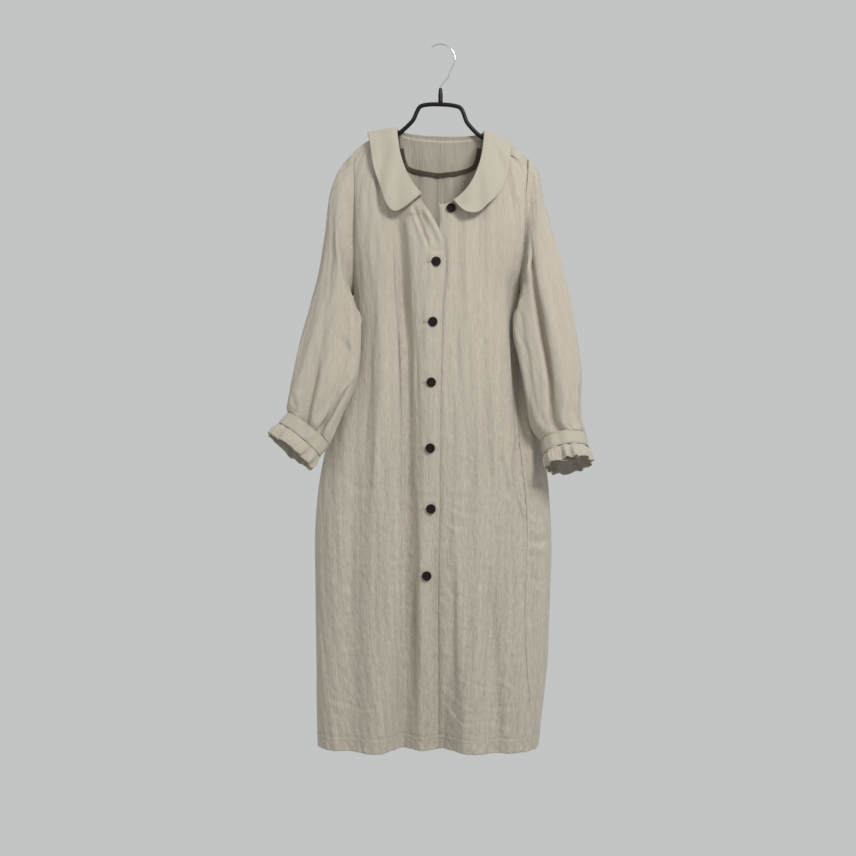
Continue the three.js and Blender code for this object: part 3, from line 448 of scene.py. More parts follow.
FRONT_CREASES = rows_of("path depth width slope", [
    ([(-86, -300), (-83, -341), (-76, -499), (-69, -591), (-66, -740), (-65, -900),
      (-66, -1100), (-70, -1330)], 12.0, 2.6, 22),
    ([(-54, -420), (-50, -560), (-44, -700), (-42, -860)], 1.6, 5),
    ([(83, -560), (84, -740), (86, -850)], 3.4, 9),
    ([(87, -1000), (95, -1150), (100, -1250), (104, -1330)], 5.0, 11),
    ([(22, -980), (20, -1130), (26, -1300)], 3.6, 8),
    ([(-52, -318), (-32, -372), (-21, -403)], 4.6, 3.4),
    ([(-36, -322), (-12, -362), (4, -398)], -3.0, 5),
    ([(-24, -407), (8, -405)], 1.6, 3.5),
    ([(-44, -436), (-16, -428)], 1.1, 3.5),
    ([(-48, -545), (-20, -540)], 1.0, 3.5),
    ([(-46, -1000), (-30, -1008)], 1.2, 4),
    ([(13, -880), (40, -891), (69, -896)], 1.5, 3.0),
    ([(6, -905), (30, -919), (52, -918)], 1.1, 2.8),
    ([(2, -1210), (34, -1240), (66, -1258)], 0.8, 3.4),
    ([(30, -1284), (80, -1276), (134, -1294)], 0.8, 3.6),
    ([(104, -1196), (128, -1206), (150, -1230)], 0.8, 3.6),
    ([(128, -236), (133, -290), (131, -345)], 2.2, 6),
    ([(116, -262), (112, -360)], 1.4, 7),
    ([(-134, -290), (-141, -400)], 1.8, 8),
    ([(-116, -250), (-112, -380)], 1.2, 8),
    ([(-190, -820), (-150, -850), (-120, -845)], 1.5, 7),
    ([(-205, -1010), (-160, -1040)], 1.4, 8),
    ([(-214, -1240), (-150, -1258), (-112, -1250)], 1.1, 4),
    ([(-196, -1150), (-130, -1130)], 0.9, 5),
    ([(130, -760), (146, -850), (150, -900)], 2.2, 6),
    ([(108, -770), (118, -830), (132, -880)], 1.8, 5),
    ([(10, -1240), (24, -1266), (52, -1290)], 0.9, 3.0),
    ([(70, -1244), (104, -1256), (150, -1252)], 0.7, 3.0),
    ([(20, -1176), (46, -1200), (88, -1218)], 1.0, 3.0),
    ([(40, -1300), (76, -1306), (120, -1300)], 0.8, 2.6),
])
BACK_CREASES = rows_of("path depth width", [
    ([(157, -944), (186, -950), (205, -948)], 3.4, 6),
    ([(150, -880), (180, -905), (202, -900)], 2.2, 7),
    ([(160, -1010), (196, -1030)], 2.0, 8),
    ([(150, -836), (172, -846), (198, -838)], 2.6, 4),
    ([(148, -862), (166, -870), (180, -884)], 2.4, 4),
    ([(158, -912), (182, -922), (206, -916)], 2.8, 4),
    ([(152, -966), (170, -974), (190, -990)], 2.2, 4),
    ([(176, -770), (180, -812), (174, -850)], 2.4, 5),
    ([(-60, -300), (-72, -520), (-84, -760)], 2.6, 8),
    ([(62, -320), (70, -560), (80, -800)], 2.8, 8),
    ([(-150, -560), (-110, -590), (-60, -585)], 1.8, 8),
    ([(40, -640), (100, -655), (140, -640)], 1.8, 8),
    ([(-170, -1190), (-110, -1215), (-50, -1205)], 2.0, 8),
    ([(20, -1240), (90, -1262), (150, -1250)], 2.0, 8),
    ([(-40, -900), (-20, -1100), (-26, -1300)], 2.6, 9),
])


def body_ripples(across, z):
    """Both fronts, and both backs, ripple together, so that lapping cloths stay apart."""
    long_waves = ripple(across, z, seed=11, size=42, stretch=22, height=0.9)
    short_waves = ripple(across, z, seed=12, size=18, stretch=12, height=0.33)
    return long_waves + short_waves


print("creases placed:", len(FRONT_CREASES) + len(BACK_CREASES))

# %% [markdown]
# ## The panels
#
# Two fronts and two backs, each one piece of cloth with its hem turned up inside and pressed
# flat. Every panel is a grid: its rows run round the section and its columns down the cloth.
# The rows lie closer together towards the shoulder and the hem. The cloth's own length across
# and down goes with it as a flat map, so that the weave keeps its size everywhere.

# %% The panels
YOKE_ROWS = 70
SKIRT_ROWS = 185
PANEL_COLUMNS = 100
HEM_CROWD = 1.35
PASSES = 10
CLOTH = 0.95
SEAM_INSET = 0.18
LEVEL_Z = -700.0
HEM_STEPS = 6
HEM_GAP = 1.6
SEAM_HELD = 4


def even_shares(section, count):
    """Shares of the turn that cut a section into even lengths of cloth."""
    fine = np.linspace(0, 1, 500)
    points = section(fine)[:, :2]
    run = np.concatenate([[0], np.cumsum(np.linalg.norm(np.diff(points, axis=0), axis=1))])
    return np.interp(np.linspace(0, 1, count + 1), run / run[-1], fine)


def row_height(top, row):
    """Height of a row: the yoke, closer towards the shoulder, then the skirt to the hem."""
    share = clamp(row / YOKE_ROWS) ** 2.2
    yoke = mix(top, UNDERARM_Z, share)
    left = clamp(1 - (row - YOKE_ROWS) / SKIRT_ROWS)
    skirt = mix(HEM_Z, UNDERARM_Z, left ** HEM_CROWD)
    return np.where(row <= YOKE_ROWS, yoke, skirt)


def skirt_row(above_hem):
    """The row, with its fraction, that lies that far above the hem's edge."""
    left = (above_hem / (UNDERARM_Z - HEM_Z)) ** (1 / HEM_CROWD)
    return YOKE_ROWS + SKIRT_ROWS * (1 - left)


def front_grid(side):
    edge = LAP_EDGE if side < 0 else UNDER_EDGE

    def turns(z, shares):
        start = signed_turn(side, read(edge, "x", z), z)
        end = seam_angle(side, z) - mouth_turn(side, z)
        return mix(start, end, shares)

    level = np.full(500, LEVEL_Z)
    shares = even_shares(lambda s: round_section(side, turns(level, s), level), PANEL_COLUMNS)
    row, share = np.meshgrid(np.arange(YOKE_ROWS + SKIRT_ROWS + 1.0), shares, indexing="ij")
    z = row_height(NECK_TOP_Z - FRONT_NECK_DROP, row)
    for _ in range(PASSES):
        x = round_section(side, turns(z, share), z)[..., 0]
        z = row_height(front_top(side, x), row)
    grid = round_section(side, turns(z, share), z)
    grid[..., 1] -= np.where(side < 0, lap_lift(grid[..., 0], z), 0)
    return grid


def back_grid(side):
    def turns(z, shares):
        return mix(180.0, seam_angle(side, z), shares)

    level = np.full(500, LEVEL_Z)
    shares = even_shares(lambda s: body_point(side, turns(level, s), level), PANEL_COLUMNS)
    row, share = np.meshgrid(np.arange(YOKE_ROWS + SKIRT_ROWS + 1.0), shares, indexing="ij")
    z = row_height(NECK_TOP_Z, row)
    for _ in range(PASSES):
        x = body_point(side, turns(z, share), z)[..., 0]
        top = np.where(np.abs(x) < NECK_HALF_WIDTH, back_neck_z(x), ridge_height(x))
        ramp = seam_share(x)
        first = -SEAM_FORWARD[side] * ramp
        down = mix(first, top - UNDERARM_Z, clamp(row / YOKE_ROWS) ** 2.2)
        z = np.where(row <= YOKE_ROWS, top - np.abs(down), row_height(0, row))
    turn = turns(z, share)
    over = (row <= YOKE_ROWS) & (down < 0)
    grid = body_point(side, np.where(over, 180.0 - turn, turn), z)
    return grid


def flat_map(grid, start):
    """Length across the cloth at each row, from a start for each row, and height down it."""
    steps = np.linalg.norm(np.diff(grid[..., :2], axis=1), axis=-1)
    across = np.concatenate([np.zeros((len(grid), 1)), np.cumsum(steps, axis=1)], axis=1)
    return np.stack([start + across, grid[..., 2]], axis=-1)


def turned_hem(grid, flat, normal):
    """Adds the hem: the cloth is folded inwards at the lowest row and goes back up."""
    inside = np.sign(np.sum(normal[-1] * [0, 1, 0], axis=-1).mean() * grid[-1, :, 1].mean())
    rows, maps = [], []
    for step in range(1, HEM_STEPS + 1):
        rise = HEM_BAND * step / HEM_STEPS
        source = skirt_row(rise)
        low = int(source)
        share = source - low
        place = mix(grid[low], grid[min(low + 1, len(grid) - 1)], share)
        rows.append(place - inside * normal[low] * HEM_GAP)
        maps.append(flat[-1] - [0, rise])
    return np.concatenate([grid, rows]), np.concatenate([flat, maps])


def draw_in(grid, gap):
    """Draws all four edges in a little, which leaves a fine line at each seam."""
    for edge, inner in [(0, 1), (-1, -2)]:
        for line, beside in [(grid[edge], grid[inner]), (grid[:, edge], grid[:, inner])]:
            step = beside - line
            length = np.maximum(1e-6, np.linalg.norm(step, axis=-1, keepdims=True))
            line += step / length * np.minimum(gap, length / 3)
    return grid


def make_mesh(name, grid, flat, wrap=False):
    """A mesh from a grid of points in millimetres, with its flat map in metres."""
    rows, wide = grid.shape[:2]
    last = wide if wrap else wide - 1
    i, j = np.meshgrid(np.arange(rows - 1), np.arange(last), indexing="ij")
    corners_i = np.stack([i, i, i + 1, i + 1], axis=-1).reshape(-1, 4)
    corners_j = np.stack([j, j + 1, j + 1, j], axis=-1).reshape(-1, 4)
    faces = corners_i * wide + corners_j % wide
    mesh = bpy.data.meshes.new(name)
    mesh.from_pydata((grid.reshape(-1, 3) * MM).tolist(), [], faces.tolist())
    layer = mesh.uv_layers.new(name="cloth")
    layer.data.foreach_set("uv", (flat[corners_i, corners_j] * MM).reshape(-1))
    mesh.polygons.foreach_set("use_smooth", np.ones(len(faces), dtype=bool))
    mesh.update()
    return mesh


def make_cloth(name, grid, flat, finish, thickness=CLOTH, wrap=False):
    """A thin shell of cloth on a grid."""
    piece = bpy.data.objects.new(name, make_mesh(name, grid, flat, wrap))
    bpy.context.scene.collection.objects.link(piece)
    piece.data.materials.append(finish)
    shell = piece.modifiers.new("thickness", "SOLIDIFY")
    shell.thickness = thickness * MM
    shell.offset = 0.0
    shell.use_even_offset = False
    return piece


# %% [markdown]
# ## The finishes of the cloth
#
# The cloth is a light cotton and linen mix, woven with uneven yarns and crinkled along its
# length. Its finish is worked out on the flat map: long streaks a few millimetres wide, a
# finer crinkle between them, and the grain of the weave. The colour of the streaks and the
# crinkle lines is partly the weave's own tone and partly painted light and shade on the
# crinkles, stronger towards the hem. The collar is the same cloth, but pressed, so its streaks
# are faint; its colour is a little darker than the coat's, as painted shade.

# %% The finishes of the cloth
WEAVE = {
    "long streaks": {"across": 115, "along": 3.5, "detail": 2.0},
    "crinkle lines": {"across": 330, "along": 46, "detail": 3.0, "distortion": 0.12},
    "crumple": {"across": 90, "along": 62, "detail": 3.0, "distortion": 0.3},
    "grain": {"across": 700, "along": 640, "detail": 2.0},
    "slubs": {"across": 640, "along": 60, "detail": 1.0},
    "wander": {"across": 60, "along": 3.0, "detail": 2.0},
}
# Colour marks: long streaks, crinkle lines and fine lines are partly the weave's own tone and partly
# painted light and shade on the crinkles; grain and slubs are the weave's own tone.
TONES_AND_CRINKLE_SHADE = [
    ("long streaks", 0.3, 0.7, -0.3, 0.3),
    ("crinkle lines", 0.3, 0.7, -0.45, 0.45),
    ("grain", 0.3, 0.7, -0.6, 0.6),
    ("fine lines", 0.0, 0.012, -0.3, 0.0),
    ("slubs", 0.66, 0.74, 0.0, -0.8),
]
# The painted light and shade on the crinkles, with the tone, grow stronger towards the hem.
TONE_AND_SHADE_DOWN = (-0.4, -1.0, 0.85, 1.7)
CRUMPLE_DOWN = (-0.35, -1.0, 0.4, 1.9)
RELIEF = {"long streaks": 0.0007, "crumple": 0.0012, "crinkle lines": 0.0010, "grain": 0.0005}


def cloth_finish(name, colour, streaks, crinkle):
    """A woven finish: streaks is how uneven the colour is, partly the weave's own tone and partly painted
    light and shade on the crinkles; crinkle how deep the relief.
    """
    material = bpy.data.materials.new(name)
    material.use_nodes = True
    nodes, links = material.node_tree.nodes, material.node_tree.links
    shader = nodes["Principled BSDF"]
    shader.inputs["Roughness"].default_value = 0.92
    shader.inputs["Sheen Weight"].default_value = 0.18
    shader.inputs["Sheen Roughness"].default_value = 0.6
    flat = nodes.new("ShaderNodeUVMap")
    flat.uv_map = "cloth"
    apart = nodes.new("ShaderNodeSeparateXYZ")
    links.new(flat.outputs["UV"], apart.inputs["Vector"])

    def noise(across, along, detail, distortion=0.0):
        stretch = nodes.new("ShaderNodeMapping")
        stretch.inputs["Scale"].default_value = (across, along, 1.0)
        links.new(flat.outputs["UV"], stretch.inputs["Vector"])
        texture = nodes.new("ShaderNodeTexNoise")
        texture.noise_dimensions = "2D"
        texture.inputs["Scale"].default_value = 1.0
        texture.inputs["Detail"].default_value = detail
        texture.inputs["Distortion"].default_value = distortion
        links.new(stretch.outputs["Vector"], texture.inputs["Vector"])
        return texture.outputs["Fac"]

    def spread(source, low, high, to_low, to_high):
        node = nodes.new("ShaderNodeMapRange")
        node.inputs["From Min"].default_value = low
        node.inputs["From Max"].default_value = high
        node.inputs["To Min"].default_value = to_low
        node.inputs["To Max"].default_value = to_high
        links.new(source, node.inputs["Value"])
        return node.outputs["Result"]

    def combine(kind, a, b):
        node = nodes.new("ShaderNodeMath")
        node.operation = kind
        links.new(a, node.inputs[0])
        if isinstance(b, float):
            node.inputs[1].default_value = b
        else:
            links.new(b, node.inputs[1])
        return node.outputs["Value"]

    woven = {label: noise(**facts) for label, facts in WEAVE.items()}
    woven["fine lines"] = combine("ABSOLUTE", combine("SUBTRACT", woven["wander"], 0.5), 0.0)
    tone = None
    for label, *limits in TONES_AND_CRINKLE_SHADE:
        part = spread(woven[label], *limits)
        tone = part if tone is None else combine("ADD", tone, part)
    # Painted light and shade on the crinkles: the colour's tone grows towards the hem.
    tone = combine("MULTIPLY", tone, spread(apart.outputs["Y"], *TONE_AND_SHADE_DOWN))
    bright = combine("ADD", combine("MULTIPLY", tone, streaks), 1.0)
    tint = nodes.new("ShaderNodeVectorMath")
    tint.operation = "SCALE"
    tint.inputs[0].default_value = colour
    links.new(bright, tint.inputs["Scale"])
    links.new(tint.outputs["Vector"], shader.inputs["Base Color"])

    woven["crumple"] = combine("MULTIPLY", woven["crumple"],
                               spread(apart.outputs["Y"], *CRUMPLE_DOWN))
    normal = None
    for label, distance in RELIEF.items():
        bump = nodes.new("ShaderNodeBump")
        bump.inputs["Strength"].default_value = crinkle
        bump.inputs["Distance"].default_value = distance
        links.new(woven[label], bump.inputs["Height"])
        if normal is not None:
            links.new(normal, bump.inputs["Normal"])
        normal = bump.outputs["Normal"]
    links.new(normal, shader.inputs["Normal"])
    return material


coat_cloth = cloth_finish("crinkled cloth", (0.425, 0.385, 0.314), 0.115, 1.0)
# Painted shade: the pressed cloth of the collar and cuff bands is the coat's cloth given a darker colour,
# which stands for shade.
collar_cloth = cloth_finish("pressed cloth with painted shade", (0.395, 0.36, 0.292), 0.05, 0.22)
# Painted shadow: the tape's dark colour is partly the binding's own and partly the shadow in the gap
# under the facing's edge.
tape_with_painted_shadow = cloth_finish("dark tape with painted shadow", (0.075, 0.056, 0.034), 0.16, 0.5)
print("cloth finishes: 3")

# %% [markdown]
# ## Cutting and hanging the panels
#
# Each panel is pushed by its ripples and creases, and then gets its hem. The wearer's right
# front laps over the left. The side seam of the wearer's left has swung forward, so a strip of
# the back shows there, beside the open mouth of the pocket.

# %% Cutting and hanging the panels
SIDE_NAMES = {-1: "right", 1: "left"}
PARTS = rows_of("part make_grid lines shift", [
    ("front", front_grid, FRONT_CREASES, 0.0),
    ("back", back_grid, BACK_CREASES, 900.0),
])
SHOULDER_HELD = {"below": 6, "over": 60}
SEAM_KEEPS = {"side": 0.15, "centre": 0.2}
HEM_PUCKER = {"above": 4, "over": 6}
HEM_SEWN = {"width": 2.0, "ridge": 0.7}
panels = {}
grids = {}
outwards = {}
cuts = {}


def panel_height(side, base, flat, lines, shift):
    """How far ripples, creases, the hem's pucker and its line of sewing push a panel."""
    z = base[..., 2]
    height = body_ripples(side * flat[..., 0] + shift, flat[..., 1])
    for line in lines:
        height = height + crease(base[..., 0], z, **line)
    in_hem = smooth(clamp((HEM_Z + HEM_BAND + HEM_PUCKER["above"] - z) / HEM_PUCKER["over"]))
    pucker = ripple(flat[..., 0], flat[..., 1], seed=21, size=13, stretch=1.4, height=0.32)
    height = height + in_hem * pucker
    away = (z - HEM_Z - HEM_BAND) / HEM_SEWN["width"]
    return height - np.exp(-away ** 2) + HEM_SEWN["ridge"] * np.exp(-(away + 2) ** 2)


def freedom(part, z):
    """How freely a panel moves at each point: little at the shoulder and at sewn edges."""
    free = smooth(clamp((NECK_TOP_Z - SHOULDER_HELD["below"] - z) / SHOULDER_HELD["over"]))
    column = np.arange(PANEL_COLUMNS + 1)[None, :]
    free = free * mix(SEAM_KEEPS["side"], 1.0, smooth(clamp((PANEL_COLUMNS - column) / SEAM_HELD)))
    if part == "back":
        free = free * mix(SEAM_KEEPS["centre"], 1.0, smooth(clamp(column / SEAM_HELD)))
    return free


def hang_panel(side, word, part, make_grid, lines, shift):
    """Makes a panel and puts it in place of the plain panel and its hem."""
    base = make_grid(side)
    flat = flat_map(base, side * base[:, :1, 0])
    out = -side if part == "front" else side
    height = panel_height(side, base, flat, lines, shift)
    grid, normal = pushed(base, out * height * freedom(part, base[..., 2]))
    normal = normal * out
    grid, flat = turned_hem(grid, flat, -normal)
    grid = draw_in(grid, SEAM_INSET)
    name = f"{part}_{word}_cloth"
    piece = make_cloth(name, grid, flat + [shift, 0], coat_cloth)
    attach(piece, "root")
    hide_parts(f"{part}_{word}", f"hem_{part}_{word}")
    panels[name] = piece
    grids[name] = grid
    outwards[name] = normal
    cuts[name] = flat
    print(name, "faces:", len(piece.data.polygons))


for side, word in SIDE_NAMES.items():
    for facts in PARTS:
        hang_panel(side, word, **facts)

# %% [markdown]
# ## Laying pieces on the panels
#
# The collar, the facing and its tape lie on the panels. Their points are found by looking
# for the cloth from outside and standing the point off it.

# %% Laying pieces on the panels
LAID_REACH = 9
LAID_FROM = 60
HAIR = 1e-5


def tree_of(names):
    """What the lay-on search looks through: the panels' own middle surfaces."""
    vertices, faces = [], []
    for name in names:
        mesh = panels[name].data
        start = len(vertices)
        vertices += [vertex.co.copy() for vertex in mesh.vertices]
        faces += [[start + k for k in polygon.vertices] for polygon in mesh.polygons]
    return BVHTree.FromPolygons(vertices, faces)


def laid_on(tree, point, direction, height, reach=LAID_REACH):
    """Finds the cloth at a point from outside and stands the point off it."""
    away = LAID_FROM * MM
    start = Vector(point) * MM + Vector(direction) * away
    travelled = 0.0
    while travelled < 2 * away:
        hit = tree.ray_cast(start, -Vector(direction), 2 * away - travelled)
        if hit[0] is None:
            break
        if (hit[0] - Vector(point) * MM).length < reach * MM:
            return np.array(hit[0]) / MM + np.array(direction) * (CLOTH / 2 + height)
        travelled += hit[3] + HAIR
        start = hit[0] - Vector(direction) * HAIR
    return np.array(point) + np.array(direction) * (CLOTH / 2 + height)


all_panels = tree_of(panels)
back_panels = tree_of(["back_right_cloth", "back_left_cloth"])

# %% [markdown]
# ## The collar
#
# A flat round collar: one shaped piece that goes round the back of the neck and ends in a
# round front on each side. It is two cloths sewn and turned, so it is thicker and smoother
# than the coat, and its outer edge stands a little off the front.

# %% The collar
COLLAR_WIDTH = 49
COLLAR_BACK_WIDTH = 54
COLLAR_OVERHANG = 3
COLLAR_END_ROUND = {-1: 15, 1: 34}
COLLAR_RUN = 125
COLLAR_BROADER = {-1: 0.3, 1: 0.0}
COLLAR_SHOULDER = {-1: 11, 1: 3}
COLLAR_ROLL = 3
COLLAR_START = {-1: 24, 1: 14}
COLLAR_LIFT = {"front": 17, "back": 3}
COLLAR_CLOTH = 1.9
COLLAR_CLEAR = 1.3
COLLAR_ROWS = 58
COLLAR_LINES = 17
COLLAR_CREST = {"turn": 92, "over": 26}
COLLAR_FRONT = {"turn": 58, "over": 30}
RIDGE_LEAN = {"most": 76, "over": 20, "outwards": 0.45, "by_x": 60}
LAP_REACHED = 40


def raised_from_ridge(x, drop, height):
    point = body_at(x, ridge_height(x) - abs(drop), drop > 0)
    if x < 0 < drop:
        point[1] -= lap_lift(x, point[2]) * clamp(drop / LAP_REACHED)
    turn = np.radians(90 - RIDGE_LEAN["most"] * np.tanh(drop / RIDGE_LEAN["over"]))
    near = clamp(abs(x) / RIDGE_LEAN["by_x"])
    sideways = RIDGE_LEAN["outwards"] * np.sign(x) * np.sin(turn) ** 3 * near
    direction = np.array([sideways, -np.cos(turn), np.sin(turn)])
    return laid_on(all_panels, point, direction / np.linalg.norm(direction), height)


def collar_point(side, turn, out):
    angle = np.radians(turn)
    is_front = turn <= 90
    from_tip = np.radians(turn - COLLAR_START[side]) * COLLAR_RUN
    ending = np.sqrt(max(0.0004, 1 - (1 - clamp(from_tip / COLLAR_END_ROUND[side])) ** 2))
    rise = COLLAR_LIFT["front" if is_front else "back"] * np.cos(angle) ** 2
    height = COLLAR_CLEAR + COLLAR_CLOTH / 2 + COLLAR_ROLL * np.sin(np.pi * out / 2)
    height += rise * out ** 1.4
    crest = np.exp(-(((turn - COLLAR_CREST["turn"]) / COLLAR_CREST["over"]) ** 2))
    height += COLLAR_SHOULDER[side] * out ** 1.5 * crest
    forward = smooth(clamp((COLLAR_FRONT["turn"] - turn) / COLLAR_FRONT["over"]))
    broad = 1 + COLLAR_BROADER[side] * forward
    if is_front:
        away = np.array([np.sin(angle) * FRONT_NECK_DROP, np.cos(angle) * NECK_HALF_WIDTH])
        away /= np.linalg.norm(away)
        width = mix(-COLLAR_OVERHANG, COLLAR_WIDTH * broad, out) * ending
        x = NECK_HALF_WIDTH * np.sin(angle) + away[0] * width
        drop = max(0.05, FRONT_NECK_DROP * np.cos(angle) + away[1] * width)
        return raised_from_ridge(side * x, drop, height)
    reach = NECK_HALF_WIDTH + mix(-COLLAR_OVERHANG, COLLAR_WIDTH, out)
    fall = BACK_NECK_DROP + mix(-COLLAR_OVERHANG, COLLAR_BACK_WIDTH, out)
    x = reach * np.sin(angle) ** 0.8
    return raised_from_ridge(side * x, -fall * abs(np.cos(angle)) ** 0.8, height)


def collar_turns(side):
    start = COLLAR_START[side]
    back = [90 + 90 * (k / COLLAR_ROWS) ** 1.3 for k in range(COLLAR_ROWS, -1, -1)]
    front = [90 - (90 - start) * (k / COLLAR_ROWS) ** 1.2 for k in range(1, COLLAR_ROWS + 1)]
    return back + front


def softened(grid, times):
    """Evens out a grid, so that a stiff pressed piece doesn't follow each small ripple."""
    for _ in range(times):
        inner = grid.copy()
        inner[1:-1] = (grid[:-2] + 2 * grid[1:-1] + grid[2:]) / 4
        inner[:, 1:-1] = (inner[:, :-2] + 2 * inner[:, 1:-1] + inner[:, 2:]) / 4
        grid = inner
    return grid


def collar_grid():
    lines = np.linspace(0, 1, COLLAR_LINES)
    half = {side: [[collar_point(side, turn, out) for out in lines] for turn in collar_turns(side)]
            for side in SIDE_NAMES}
    return np.array(half[-1][::-1] + half[1][1:])


def run_map(grid):
    """The flat map of a strip: length along its rows and across its columns."""
    along = np.concatenate([[0], np.cumsum(np.linalg.norm(
        np.diff(grid[:, grid.shape[1] // 2], axis=0), axis=-1))])
    across = np.linspace(0, np.linalg.norm(grid[:, -1] - grid[:, 0], axis=-1).mean(), grid.shape[1])
    return np.stack(np.meshgrid(along, across, indexing="ij"), axis=-1)


def add_piece(name, grid, flat, finish, replaced, thickness=CLOTH, wrap=False, rounded=False):
    """A piece of cloth that rides on the coat and stands for a node of the plain model."""
    piece = make_cloth(name, grid, flat, finish, thickness, wrap)
    grids[name] = grid
    cuts[name] = flat
    if rounded:
        soft = piece.modifiers.new("rounded edge", "SUBSURF")
        soft.levels = 1
        soft.render_levels = 1
    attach(piece, "root")
    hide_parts(*replaced)
    return piece


collar_points = softened(collar_grid(), 3)
collar = add_piece("collar_cloth", collar_points, run_map(collar_points)[..., ::-1], collar_cloth,
                   ["collar"], COLLAR_CLOTH, rounded=True)
print("collar faces:", len(collar.data.polygons))

# %% [markdown]
# ## The facing and its tape
#
# Inside the back of the neck a half-moon of the same cloth covers the seam. Its lower edge is
# bound with a narrow tape, whose dark colour and width are partly the binding's own and partly
# painted shadow in the gap beneath the edge.

# %% The facing and its tape
FACING_EDGE = columns("place x z", [
    (0, 0, -246), (1, 32, -242.5), (2, 56, -236.5), (3, 67, -231), (4, 73, -218), (5, 77, -198),
    (6, 80, -181),
])
FACING_REACH = 0.86
FACING_CLEAR = 1.2
FACING_CLOTH = 0.9
# The tape's width covers the binding and the painted shadow beneath the edge.
TAPE_AND_SHADOW_WIDTH = 8
TAPE_CLOTH = 1.1


def facing_edge(across):
    place = abs(across) * (len(FACING_EDGE["x"]) - 1)
    x = np.interp(place, FACING_EDGE["place"], FACING_EDGE["x"])
    return np.sign(across) * x, np.interp(place, FACING_EDGE["place"], FACING_EDGE["z"])


def facing_grid():
    rows = []
    for across in np.linspace(-FACING_REACH, FACING_REACH, 61):
        edge_x, edge_z = facing_edge(across)
        row = []
        for up in np.linspace(0.02, 1, 15):
            x = mix(edge_x, edge_x * 1.02, up)
            place = body_at(x, mix(edge_z, back_neck_z(x) - 4, up), False)
            row.append(laid_on(back_panels, place, (0, -1, 0), FACING_CLEAR))
        rows.append(row)
    return np.array(rows)


def tape_grid():
    rows = []
    for across in np.linspace(-FACING_REACH, FACING_REACH, 91):
        x, z = facing_edge(across)
        ahead, behind = np.array(facing_edge(across + 0.03)), np.array(facing_edge(across - 0.03))
        line = (ahead - behind) / np.linalg.norm(ahead - behind)
        row = []
        for out in np.linspace(-1.5, TAPE_AND_SHADOW_WIDTH - 1.5, 5):
            place_z = min(back_neck_z(x) - 1, z + line[0] * out)
            place = body_at(x - line[1] * out, place_z, False)
            row.append(laid_on(back_panels, place, (0, -1, 0), FACING_CLEAR + FACING_CLOTH + 0.9))
        rows.append(row)
    return np.array(rows)


facing_points = softened(facing_grid(), 2)
add_piece("facing_cloth", facing_points, run_map(facing_points), coat_cloth,
          ["back_neck_facing"], FACING_CLOTH)
tape_points = softened(tape_grid(), 2)
add_piece("facing_tape", tape_points, run_map(tape_points), tape_with_painted_shadow,
          ["facing_binding"], TAPE_CLOTH, rounded=True)
print("facing width:", round(float(np.ptp(facing_points[..., 0]))), "mm")

# %% [markdown]
# ## Sleeves
#
# Each sleeve is a long loose tube, set into the armhole and pleated into a narrow band. It
# hangs a little forward of the body. Its sections are given from the armhole to the cuff,
# with the largest folds placed round them.

# %% Sleeves
SLEEVE = {
    -1: columns("at in_x in_z in_y out_x out_z out_y depth lean", [
        (1, -172, -483, -3, -183, -226, 0, 39, 0),
        (2, -174, -486, -10, -197, -248, -4, 39, 0),
        (3, -173, -491, -20, -210, -284, -8, 37, 2),
        (4, -168, -499, -32, -216, -329, -14, 35, 4),
        (5, -161, -509, -42, -221, -383, -20, 33, 6),
        (6, -154, -522, -50, -232, -449, -30, 31, 8),
        (7, -151, -545, -55, -246, -505, -38, 30, 8),
        (8, -151, -575, -59, -259, -560, -46, 30, 8),
        (9, -151, -605, -62, -271, -611, -53, 31, 8),
        (10, -156, -640, -66, -280, -655, -60, 32, 10),
        (11, -168, -676, -70, -286, -684, -66, 31, 14),
        (12, -189, -722, -74, -286, -700, -70, 27, 18),
        (13, -208, -768, -76, -283, -707, -72, 23, 21),
    ]),
    1: columns("at in_x in_z in_y out_x out_z out_y depth lean", [
        (1, 150.2, -482, -3, 178, -225, 0, 39, 0),
        (2, 150.6, -486, -10, 185, -241, -4, 39, 0),
        (3, 150.4, -491, -22, 191, -267, -8, 37, 2),
        (4, 149.5, -498, -34, 197, -302, -14, 35, 4),
        (5, 146, -507, -42, 207, -343, -20, 33, 6),
        (6, 139, -520, -48, 224, -407, -28, 31, 8),
        (7, 136, -541, -53, 240, -474, -36, 30, 8),
        (8, 138, -572, -56, 252, -539, -44, 30, 8),
        (9, 145, -604, -59, 260, -594, -50, 31, 8),
        (10, 154, -649, -62, 264, -646, -56, 32, 10),
        (11, 161, -694, -66, 262, -684, -62, 32, 14),
        (12, 168, -732, -70, 262, -722, -67, 32, 22),
        (13, 187, -760, -73, 269, -749, -71, 33, 29),
    ]),
}
SECTIONS = 13
SLEEVE_FOLDS = {
    -1: rows_of("turn width depth start end", [
        (70, 16, 9, 0.5, 1.0),
        (122, 14, 10, 0.42, 0.86),
        (235, 22, 10, 0.45, 1.0),
        (300, 20, 9, 0.55, 1.0),
    ]),
    1: rows_of("turn width depth start end", [
        (98, 15, 15, 0.28, 1.0),
        (28, 12, 9, 0.74, 1.0),
        (240, 22, 10, 0.45, 1.0),
        (305, 20, 9, 0.55, 1.0),
    ]),
}
SLEEVE_RADIUS = 52
SLEEVE_LENGTH = 560
